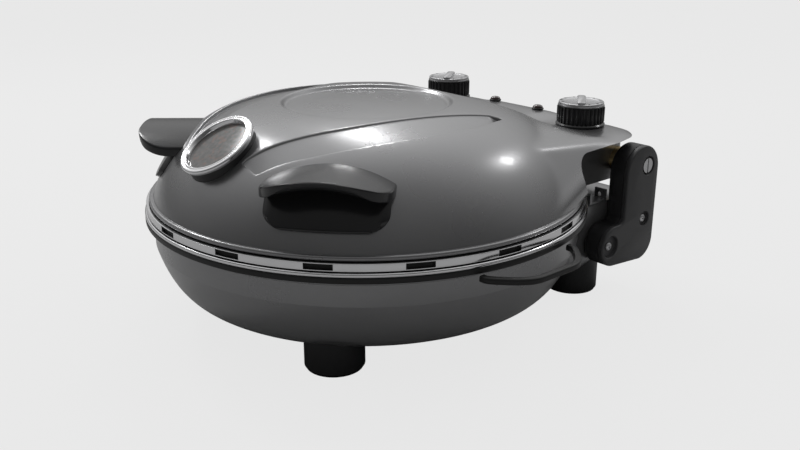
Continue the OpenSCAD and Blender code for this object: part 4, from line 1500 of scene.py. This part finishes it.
@dataclass
class LidHandles:
    """Two black handles: an arched tongue over a plate that hugs the dome."""

    form: LidForm
    angle: float = 40.5
    reach: float = 170.0
    width: float = 86.0
    top: float = EDGE_Z + 52.0
    thick: float = 7.0
    arch: float = 11.5
    corner: float = 27.0
    root: float = 103.0
    plate_t: float = 3.4
    plate_low: float = 109.5
    plate_corner: float = 14.0

    def build(self) -> None:
        """Makes and dresses both handles."""
        for side, word in ((1, "right"), (-1, "left")):
            aside = turned(side * self.angle, "Z")
            handle = mesh_object(f"handle_{word}_grip", outward(self.tongue().placed(aside)), SOFT)
            combine(handle, [self.plate().placed(aside)], Join.ADD)
            shade(handle, SOFT)
            dressed(handle, Finishes.gloss, Body.LID, f"lid_handle_{word}")

    def drop(self, x: float) -> float:
        """How far the arched band has fallen at a place across the handle."""
        half = self.width / 2 + 2
        bow = (half**2 + self.arch**2) / (2 * self.arch)
        return bow - math.sqrt(bow**2 - x**2)

    def tongue(self) -> Shape:
        """The tongue, as a row of rounded sections from the dome out to its tip."""
        half, tip, r = self.width / 2, self.reach, self.corner
        places = list(np.linspace(self.root, tip - r, 10))
        places += [tip - r + r * math.sin(a) for a in np.linspace(0.08, math.pi / 2 - 0.02, 22)]
        loops = []
        for y in places:
            into = max(0.0, y - (tip - r))
            w = half - r + math.sqrt(max(r**2 - into**2, 0.0))
            near = min(1.0, (tip - y) / 8)
            t = self.thick * (0.26 + 0.74 * near * (2 - near))
            blunt = 0.5 * max(0.0, 1 - (tip - y) / 0.8)
            loop = []
            for x, z in self.dense(rounded_rectangle(w, t / 2, min(t * 0.4, 1.3), 6)):
                loop.append(
                    (x, -y, self.top - t / 2 + z * (1 - blunt) - self.drop(min(abs(x), half)))
                )
            loops.append(np.array(loop, float))
        return loft(loops)

    @staticmethod
    def dense(loop: Sequence[Pair], parts: int = 16) -> list[Pair]:
        """Splits a section's long sides, so that they can follow the arch."""
        made = []
        for i, p in enumerate(loop):
            q = loop[(i + 1) % len(loop)]
            split = parts if abs(p[0] - q[0]) > 14 else 1
            for j in range(split):
                made.append((p[0] + (q[0] - p[0]) * j / split, p[1] + (q[1] - p[1]) * j / split))
        return made

    def plate(self) -> Shape:
        """The plate under the tongue, as a row of sections up the dome."""
        half, r, low = self.width / 2 - 2, self.plate_corner, self.plate_low
        top = self.top - 2.5
        heights = [low + r * (1 - math.cos(a)) for a in np.linspace(0.12, math.pi / 2, 14)]
        heights += list(np.linspace(low + r, top, 12))[1:]
        loops = []
        for z in heights:
            into = max(0.0, low + r - z)
            w = half - r + math.sqrt(max(r**2 - into**2, 0.0))
            rise = min(1.0, (z - low) / 2.5)
            t = self.plate_t * math.sqrt(max(1 - (1 - rise) ** 2, 0.1))
            xs = np.linspace(-w, w, 25)
            zs = [low + (z - low) * (1 - self.drop(abs(x)) / (top - low)) for x in xs]
            skin = np.array([self.form.dome_radius(v) for v in zs])
            edge = np.clip((w - np.abs(xs)) / 2.2, 0, 1)
            swell = skin + t * np.sqrt(np.clip(1 - (1 - edge) ** 2, 0.02, 1))
            front = [(x, -math.sqrt(out**2 - x * x), v) for x, out, v in zip(xs, swell, zs)]
            back = [
                (x, -math.sqrt((deep - 1.2) ** 2 - x * x), v)
                for x, deep, v in zip(xs, skin, zs)
            ][::-1]
            loops.append(np.array(front + back, float))
        return loft(loops)


# The base


@dataclass
class Base:
    """The painted base shell with its rear extension, and the parts of its rim."""

    bowl_r: float = 164.0
    bowl_low: float = 17.4
    bowl_deep: float = 45.0
    wall: float = 1.6
    tail_x: float = 116.0
    tail_back: float = 188.0
    tail_top: float = 77.4
    tail_edge: float = 18.0
    hatch_r: float = 68.0
    loop_t: float = 4.5

    def build(self, repeats: Repeats) -> None:
        """Makes and dresses the base's pieces."""
        self.shell()
        self.rim()
        self.loops()
        self.fasteners(repeats)

    def bowl(self, inset: float, top: float) -> Shape:
        """The round bowl.

        Args:
            inset: how far inside the outer skin it is.
            top: height of its flat top.

        Returns:
            The solid.
        """
        wide, deep = self.bowl_r - inset, self.bowl_deep - inset
        shoulder = self.bowl_low + self.bowl_deep
        profile = [(0.0, shoulder - deep)]
        for a in np.concatenate([np.geomspace(1e-4, 0.35, 26), np.linspace(0.4, math.pi / 2, 34)]):
            profile.append(
                (wide * math.sin(a) ** 0.16, shoulder - deep * max(math.cos(a), 0.0) ** 1.96)
            )
        profile += [(wide, top), (0.0, top)]
        return lathe(profile, 256, ring=False)

    def tail(self, inset: float) -> Shape:
        """The rear extension, as a row of rounded sections towards the back."""
        half, back = self.tail_x - inset, self.tail_back - inset
        low, top, r = self.bowl_low + inset, self.tail_top - inset, self.tail_edge - inset
        heel = ((back - 26, 0.0), (back - 8, 9.0), (back, 22.0))
        places = list(np.linspace(84, back - 26, 8)) + list(np.linspace(back - 24, back - 12, 6))
        places += [back - 12 + 12 * math.sin(a) for a in np.linspace(0.1, math.pi / 2, 12)]
        loops = []
        for y in places:
            into = max(0.0, y - (back - 12))
            w = half - 12 + math.sqrt(max(144 - into * into, 0.0))
            rise = float(np.interp(y, [p[0] for p in heel], [p[1] for p in heel]))
            base = low + rise * 0.9
            side = min(r, (top - base) * 0.45)
            outline = arc(w - side, base + side, side, -90, 0, 10)
            outline += arc(w - 2, top - 2, 2, 0, 90, 4)
            outline += arc(-w + 2, top - 2, 2, 90, 180, 4) + arc(
                -w + side, base + side, side, 180, 270, 10
            )
            loops.append(np.array([(x, y, z) for x, z in outline], float))
        return outward(loft(loops))

    def shell(self) -> None:
        """The base shell: bowl, rear extension and the rolled lip at its top."""
        body = mesh_object("base_body", self.bowl(0, BASE_TOP))
        lip = softened(
            [(162.6, 77.2), (164.9, 77.4), (165.1, 78.9), (164.9, 80.4), (162.6, 80.4)], 0.7, 4
        )
        combine(body, [self.tail(0), lathe(lip, 256)], Join.ADD)
        hollow = mesh_object("hollow", self.bowl(self.wall, BASE_TOP + 5))
        combine(hollow, [self.tail(self.wall)], Join.ADD)
        cuts = [shape_of(hollow), cylinder(self.hatch_r, 0, 24, 96)]
        cuts.append(cylinder(7.0, -200, -170).placed(frame_matrix(0, 0, 50.4, turned(90, "X"))))
        combine(body, cuts, Join.CUT)
        shade(body, 30)
        dressed(body, Finishes.paint, Body.BASE, "base_shell")

    def rim(self) -> None:
        """The black band that carries the stone, the chrome ring on it and the stone."""
        stone, sheet, ledge = 152.4, 1.5, 76.0
        seat, plate, turn = stone + 1, BASE_TOP + sheet, RIM_R - 2.5
        band = [
            (stone - 14, ledge), (seat + sheet, ledge), (seat + sheet, BASE_TOP), (RIM_R, BASE_TOP)
        ]
        band += [
            (RIM_R, BAND_TOP), (turn, BAND_TOP), (turn, plate), (self.bowl_r - 6, plate),
            (seat, plate)
        ]
        band += [(seat, ledge + sheet), (stone - 14, ledge + sheet)]
        piece(
            "rim_band", lathe(softened(band, 0.7, 4), 288), Finishes.enamel, Body.BASE, "stone_tray"
        )
        inner = RIM_R - 11
        trim = [(inner, BAND_TOP), (RIM_R, BAND_TOP), (RIM_R, RING_TOP), (inner, RING_TOP)]
        piece(
            "rim_trim", lathe(softened(trim, 1.4, 6), 288), Finishes.chrome, Body.BASE, "rim_ring"
        )
        low, high = ledge + sheet, ledge + sheet + 8 - 0.05
        disc = [(0, low), (stone - 0.8, low), (stone, low + 0.8), (stone, high - 1.2)]
        disc += [(stone - 0.4, high - 0.4), (stone - 1.4, high), (0, high)]
        piece("stone_disc", lathe(disc, 192, ring=False), Finishes.stone, Body.BASE, "baking_stone")

    def loops(self) -> None:
        """The two angular carrying loops, each one bent bar."""
        t = self.loop_t / 2
        low = BASE_TOP - 0.2 - t
        half, out = 45.0 - t, RIM_R + 23.5 - t
        corners = [(RIM_R - 4, half), (RIM_R + 1, half), (RIM_R + 15, half - 13), (out, half - 23)]
        path = corners + [(x, -y) for x, y in reversed(corners)]
        path = self.filleted(path, 7.0)
        loops = []
        for i, (x, y) in enumerate(path):
            before, after = path[max(i - 1, 0)], path[min(i + 1, len(path) - 1)]
            along = Vector((after[0] - before[0], after[1] - before[1])).normalized()
            loops.append(np.array([
                (
                    x + along.y * u, y - along.x * u, low + v
                ) for u, v in rounded_rectangle(t * 1.15, t, t * 0.62, 5)
            ], float))
        bar = outward(loft(loops))
        for word, loop in (("right", bar), ("left", bar.mirrored())):
            piece(
                f"carry_loop_{word}", loop, Finishes.enamel, Body.BASE, f"tray_loop_{word}",
                sharp=SOFT
            )

    @staticmethod
    def filleted(path: Sequence[Pair], r: float) -> list[Pair]:
        """Rounds the inner corners of an open path.

        Args:
            path: its corners.
            r: how far along each side the rounding reaches.

        Returns:
            The rounded path.
        """
        made = [path[0]]
        for before, corner, after in zip(path, path[1:], path[2:]):
            b, c, a = (np.array(p, float) for p in (before, corner, after))
            start = c + (b - c) * min(0.45, r / np.linalg.norm(b - c))
            end = c + (a - c) * min(0.45, r / np.linalg.norm(a - c))
            for t in np.linspace(0, 1, 8):
                p = start * (1 - t) ** 2 + c * 2 * t * (1 - t) + end * t * t
                made.append((float(p[0]), float(p[1])))
        return made + [path[-1]]

    def fasteners(self, repeats: Repeats) -> None:
        """The screws of the bottom plate."""
        model = shape_of(screw_model(2.8, 1.6, 1.2)).placed(turned(180, "X"))
        model = model.placed(frame_matrix(self.hatch_r + 7, 0, self.bowl_low - 1.2))
        screws = repeats.spun("hatch_screws", model, Finishes.steel, 4, 45, 90)
        dressed(screws, Finishes.steel, Body.BASE, "bottom_screws")


# The arms


@dataclass
class Arms:
    """The two hinge arms: a tub against the base, its outer cover, and their screws."""

    back: float = 193.0
    top_z: float = EDGE_Z + 28.6
    low_z: float = EDGE_Z - 67.8
    top_r: float = 20.2
    heel_r: float = 17.0
    toe_r: float = 16.6
    toe_y: float = 125.6
    inner_r: float = 6.0
    screws: tuple[Pair, ...] = ((136.5, 46.0), (179.4, 60.5))

    def build(self, repeats: Repeats) -> None:
        """Makes and dresses the arms."""
        seam = ARM_OUT - COVER_T
        worn, tight = [(0.0, 2.4), (0.7, 0.9), (1.9, 0.15), (3.4, 0.0)], [
            (0.35, 0.0), (0.1, 0.12), (0.0, 0.4)
        ]
        crisp, wide = [(0.0, 0.5), (0.25, 0.12), (0.6, 0.0)], [
            (1.5, 0.0), (0.8, 0.16), (0.3, 0.55), (0.0, 1.3)
        ]
        tub = self.slab(worn, ARM_IN, seam, tight)
        cover = self.slab(crisp, seam + 0.05, ARM_OUT, wide)
        for word in ("right", "left"):
            flip = word == "left"
            case = tub.mirrored() if flip else tub
            piece(
                f"arm_case_{word}", case, Finishes.satin, Body.BASE, f"arm_tub_{word}", sharp=SOFT
            )
            plate = mesh_object(f"arm_plate_{word}", cover.mirrored() if flip else cover, SOFT)
            combine(plate, [self.recess(*place, flip) for place in self.recesses()], Join.CUT)
            shade(plate, SOFT)
            dressed(plate, Finishes.cover, Body.BASE, f"arm_cover_{word}")
        self.fasteners(repeats)

    def recesses(self) -> list[tuple[float, float, float]]:
        """Places and radii of the round recesses in a cover."""
        (toe_y, toe_z), (mid_y, mid_z) = self.screws
        return [(toe_y, toe_z, 9.0), (mid_y, mid_z, 6.0), (*PIVOT, 7.6)]

    @staticmethod
    def recess(y: float, z: float, r: float, flip: bool) -> Shape:
        """A round recess in a cover, with a bevelled mouth."""
        profile = [
            (0, -2.75), (r - 0.4, -2.75), (r - 0.1, -2.4), (r, -0.5), (r + 0.6, 0.05), (r + 0.6, 5),
            (0, 5)
        ]
        tool = lathe(profile, 64, ring=False).placed(frame_matrix(ARM_OUT, y, z, turned(90, "Y")))
        return tool.mirrored() if flip else tool

    def outline(self, g: float) -> list[Pair]:
        """Side outline of an arm, as (y, z), drawn inset by g."""
        top_y, heel_y = self.back - self.top_r, self.back - self.heel_r
        toe_y = self.toe_y + self.toe_r
        front = self.back - 2 * self.top_r
        toe_z = self.low_z + 3 + self.toe_r
        toe_top = toe_z + self.toe_r
        path = arc(heel_y, self.low_z + self.heel_r, self.heel_r - g, -85, 0, 12)
        path += arc(top_y, self.top_z - self.top_r, self.top_r - g, 0, 180, 32)
        path += arc(front - self.inner_r, toe_top + self.inner_r, self.inner_r + g, 0, -90, 8)
        path += arc(toe_y, toe_z, self.toe_r - g, 90, 265, 28)
        return path

    def slab(self, start: Sequence[Pair], x0: float, x1: float, end: Sequence[Pair]) -> Shape:
        """A slab of the arm's outline with rounded edges.

        Args:
            start: (way in from x0, inset) pairs of the first edge.
            x0: where it begins.
            x1: where it ends.
            end: (way in from x1, inset) pairs of the last edge.

        Returns:
            The slab.
        """
        rows = [(x0 + d, g) for d, g in start] + [(x1 - d, g) for d, g in end]
        return outward(
            loft([np.array([(x, y, z) for y, z in self.outline(g)], float) for x, g in rows])
        )

    def fasteners(self, repeats: Repeats) -> None:
        """The arm screws, two on each side."""
        model = shape_of(screw_model(3.4, 1.9, 2.5))
        head_x = ARM_OUT - 2.75
        sides = []
        for word, way in (("right", 1), ("left", -1)):
            places = [(way * head_x, y, z) for y, z in self.screws]
            sides.append(
                shape_of(repeats.scattered(word, model, Finishes.steel, places, (0, way * 90, 0)))
            )
        piece("arm_fasteners", sides[0].joined(sides[1]), Finishes.steel, Body.BASE, "arm_screws")


# The controls


@dataclass
class Controls:
    """The two fluted knobs with bright caps, and the indicator lamps."""

    knob_x: float = 77.4
    knob_y: float = 162.0
    seat: float = 131.4
    knob_r: float = 19.9
    body_h: float = 17.0
    lamp_x: float = 25.0
    lamp_y: float = 170.0

    def build(self, repeats: Repeats) -> None:
        """Makes and dresses the knobs and lamps."""
        self.knob(repeats, self.knob_x, Body.TIMER, "timer")
        self.knob(repeats, -self.knob_x, Body.THERMOSTAT, "thermostat")
        for x, word in ((-self.lamp_x, "power"), (self.lamp_x, "heat")):
            self.lamp(x, word)

    def knob(self, repeats: Repeats, x: float, body: Body, word: str) -> None:
        """One knob.

        Args:
            repeats: the trees that make its flutes and marks.
            x: its sideways place.
            body: the body that it turns with.
            word: its name.
        """
        r, z, h = self.knob_r, self.seat, self.body_h
        place = frame_matrix(x, self.knob_y)
        skirt = [
            (0, z), (r - 0.5, z), (r, z + 0.5), (r, z + 1.6), (r - 0.9, z + 2.4),
            (r - 1.7, z + 3.0), (r - 1.8, z + h - 1.6)
        ]
        skirt += [(r - 1.1, z + h - 1.0), (r - 1.1, z + h - 0.3), (r - 1.5, z + h), (0, z + h)]
        core = lathe(skirt, 96, ring=False).placed(place)
        rib = self.rib(r - 1.9, z + 2.6, z + h - 1.3).placed(place)
        ribs = repeats.spun("ribs", rib, Finishes.satin, 30, 0, 12, (x, self.knob_y))
        grip = core.joined(shape_of(ribs))
        piece(f"{word}_grip", grip, Finishes.gloss, body, f"{word}_knob", sharp=35)
        cap = mesh_object(f"{word}_face", self.cap(z + h).placed(place), 32)
        tick = loft(
            [
                np.array([(u, v, w) for u, v in rounded_rectangle(1.1, 0.42, 0.15, 2)])
                for w in (z + h + 2.0, z + h + 2.56)
            ]
        )
        tick = tick.placed(frame_matrix(self.knob_r - 3.6, 0)).placed(place)
        marks = repeats.spun("marks", outward(tick), Finishes.satin, 11, -60, 30, (x, self.knob_y))
        marks.name = f"{word}_ticks"
        dressed(cap, Finishes.silver, body, f"{word}_cap")
        dressed(marks, Finishes.satin, body)

    @staticmethod
    def rib(r: float, low: float, high: float) -> Shape:
        """One upright grip rib on the knob's side."""
        section = [
            (0.0, -1.25), (0.75, -1.05), (1.15, -0.6), (1.3, 0.0), (1.15, 0.6), (0.75, 1.05),
            (0.0, 1.25), (-0.8, 0.0)
        ]
        rows = [
            (low, 0.3), (low + 0.5, 0.8), (low + 1.2, 1.0), (high - 0.8, 1.0), (high - 0.2, 0.75),
            (high, 0.35)
        ]
        return outward(
            loft([np.array([(r + u * k, v * k, z) for u, v in section], float) for z, k in rows])
        )

    def cap(self, z: float) -> Shape:
        """A bright cap: a dished disc with a rim and a raised bar to turn it by."""
        r = self.knob_r - 1.6
        disc = [
            (0, z), (r, z), (r, z + 1.7), (r - 0.25, z + 2.2), (r - 0.8, z + 2.4),
            (r - 3.4, z + 2.4), (r - 4.0, z + 2.1)
        ]
        disc += [(r - 5.5, z + 1.9), (0, z + 1.9)]
        bar = []
        for w, k in ((z + 1.2, 1.0), (z + 3.2, 0.97), (z + 3.8, 0.9), (z + 4.0, 0.78)):
            bar.append(
                np.array(
                    [
                        (u, v, w)
                        for u, v in rounded_rectangle(
                            3.6 * k, (r - 1.2) * (0.9 + 0.1 * k), 3.0 * k, 6
                        )
                    ],
                    float
                )
            )
        return lathe(disc, 96, ring=False).joined(outward(loft(bar)).placed(turned(38, "Z")))

    def lamp(self, x: float, word: str) -> None:
        """One indicator lamp with a domed lens and its collar."""
        z = PANEL_Z
        lens = [
            (0, z - 8), (3.9, z - 8), (3.9, z + 0.05), (4.3, z + 0.3), (4.3, z + 1.8),
            (4.0, z + 2.9), (2.8, z + 3.7), (1.4, z + 4.0), (0, z + 4.05)
        ]
        shape = lathe(lens, 48, ring=False)
        place = frame_matrix(x, self.lamp_y)
        piece(
            f"lamp_lens_{word}", shape.placed(place), Finishes.lens, Body.LID, f"lamp_{word}",
            sharp=50
        )
        collar = lathe(
            softened(
                [(3.6, z + 0.05), (5.1, z + 0.05), (5.1, z + 1.2), (4.5, z + 1.7), (3.6, z + 1.7)],
                0.4, 3
            ),
            48
        )
        piece(f"lamp_collar_{word}", collar.placed(place), Finishes.satin, Body.LID, sharp=50)


# The studio


@dataclass
class Studio:
    """Pale floor and backdrop, soft lamps, and the camera at the photograph's angle."""

    azimuth: float = 48.8
    elevation: float = 19.1
    lens: float = 41.4
    camera_at: RGB = (0.5377, -0.4488, 0.3004)
    pale: float = 0.83
    room: float = 0.08
    wall: float = 0.98
    ceiling: float = 0.2
    floor_bounce: float = 0.48
    gleam_far: float = 1.4
    middle_z: float = 0.15

    def build(self) -> None:
        """Sets up the studio."""
        self.camera()
        self.world()
        self.floor()
        self.lamps()
        bpy.context.scene.view_settings.view_transform = "Standard"

    def camera(self) -> None:
        """Puts the camera where the photograph was taken from."""
        data = bpy.data.cameras.new("camera")
        data.lens = self.lens
        data.sensor_width = 36
        cam = bpy.data.objects.new("camera", data)
        cam.location = self.camera_at
        cam.rotation_euler = (math.radians(90 - self.elevation), 0, math.radians(self.azimuth))
        bpy.context.scene.collection.objects.link(cam)
        bpy.context.scene.camera = cam

    def world(self) -> None:
        """A pale backdrop for the camera, and a room that is brightest behind the object."""
        world = bpy.data.worlds.new("studio")
        bpy.context.scene.world = world
        graph = ShaderGraph(world)
        way = graph.node("ShaderNodeTexCoord", output="Generated")
        turn = math.radians(self.azimuth)
        dots = []
        for side in ((-math.sin(turn), math.cos(turn), 0.12), (0.0, 0.0, 1.0)):
            dots.append(
                graph.node(
                    "ShaderNodeVectorMath", {"operation": "DOT_PRODUCT"}, {0: way, 1: side}, "Value"
                )
            )
        behind, above = dots
        glow = behind.between(-0.6, 0.85) ** 1.2 * above.between(-0.15, 0.75)
        light = glow * self.wall + self.room
        light = above.between(0.2, 1.0) * self.ceiling + light
        seen = graph.node("ShaderNodeLightPath", output="Is Camera Ray")
        level = seen * self.pale + (1 - seen) * light
        card = graph.node(
            "ShaderNodeBackground", None, {"Color": (1.0, 1.0, 1.0), "Strength": level}
        )
        graph.node("ShaderNodeOutputWorld", None, {"Surface": card})

    def floor(self) -> None:
        """A wide pale floor that keeps the object's shadow."""
        mesh = bpy.data.meshes.new("floor")
        size = 6.0
        mesh.from_pydata(
            [(-size, -size, 0), (size, -size, 0), (size, size, 0), (-size, size, 0)], [],
            [(0, 1, 2, 3)]
        )
        floor = bpy.data.objects.new("floor", mesh)
        bpy.context.scene.collection.objects.link(floor)
        graph = ShaderGraph(bpy.data.materials.new("pale_floor"))
        seen = graph.node("ShaderNodeLightPath", output="Is Camera Ray")
        dim, pale = (self.floor_bounce,) * 3, (self.pale,) * 3
        lit = graph.node("ShaderNodeBsdfDiffuse", None, {"Color": graph.blend(seen, dim, pale)})
        flat = graph.node("ShaderNodeEmission", None, {"Color": pale, "Strength": 1.0})
        mixed = graph.node("ShaderNodeMixShader", None, {0: seen * 0.93, 1: lit, 2: flat})
        graph.node("ShaderNodeOutputMaterial", None, {"Surface": mixed})
        mesh.materials.append(graph.owner)

    def lamps(self) -> None:
        """Soft boxes for the gleams, each by its direction seen from behind the camera."""
        turn = math.radians(self.azimuth)
        gleams = (
            ("left", -45, 41, 5.0, 0.3), ("rear", -3, 46, 2.2, 0.18), ("right", 64, 37, 1.2, 0.16)
        )
        for word, across, up, watts, size in gleams:
            rise, side = math.radians(up), math.radians(across)
            back, right = (self.gleam_far * math.cos(rise) * f(side) for f in (math.cos, math.sin))
            x = right * math.cos(turn) - back * math.sin(turn)
            y = right * math.sin(turn) + back * math.cos(turn)
            at = (x, y, self.middle_z + self.gleam_far * math.sin(rise))
            self.box(f"{word}_window", at, (0, 0, self.middle_z), watts, (size, size))

    @staticmethod
    def box(name: str, at: RGB, to: RGB, watts: float, size: Pair) -> None:
        """One soft box.

        Args:
            name: its name.
            at: where it hangs, in metres.
            to: where it points.
            watts: its power.
            size: its width and height, in metres.
        """
        data = bpy.data.lights.new(name, "AREA")
        data.shape = "RECTANGLE"
        data.size, data.size_y = size
        data.energy = watts
        lamp = bpy.data.objects.new(name, data)
        lamp.location = at
        lamp.rotation_euler = (Vector(to) - Vector(at)).to_track_quat("-Z", "Y").to_euler()
        bpy.context.scene.collection.objects.link(lamp)


# The whole


def keep_frame_parts(frame: dict[str, Any]) -> None:
    """Gives the CAD nodes that are shown as they are their finishes."""
    feet = [f"foot_{end}_{side}" for end in ("front", "rear") for side in ("left", "right")]
    brackets = [f"hinge_{part}_{side}" for part in ("bracket", "pin") for side in ("left", "right")]
    dress_nodes(frame, Finishes.satin, *feet, "housing_cover", "lamp_holders", "cord_gland")
    dress_nodes(frame, Finishes.rubber, "foot_pads")
    dress_nodes(frame, Finishes.paint, "bottom_plate")
    dress_nodes(
        frame, Finishes.steel, *brackets, "foot_screws", "foot_nuts", "handle_screws", "window_nut"
    )
    dress_nodes(
        frame, Finishes.steel, "shaft_nuts", "timer_shaft", "thermostat_shaft", "upper_clips",
        "lower_clips"
    )
    dress_nodes(frame, Finishes.reflector, "lower_reflector", "lid_liner")
    dress_nodes(frame, Finishes.tube, "lower_element", "upper_element")
    dress_nodes(frame, Finishes.ceramic, "lower_insulators", "upper_insulators")
    dress_nodes(frame, Finishes.glass, "liner_glass")
    dress_nodes(frame, Finishes.brass, "hinge_bush_left", "hinge_bush_right")
    dress_nodes(frame, Finishes.housing, "timer_body", "thermostat_body")


def main() -> None:
    """Builds the pizza maker's looks around its frame."""
    logging.basicConfig(level=logging.INFO, format="%(message)s")
    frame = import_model()
    repeats = Repeats()
    lid = Lid()
    lid.build(repeats)
    Window().build()
    LidHandles(lid.form).build()
    Base().build(repeats)
    Arms().build(repeats)
    Controls().build(repeats)
    keep_frame_parts(frame)
    Studio().build()


if __name__ == "__main__":
    main()
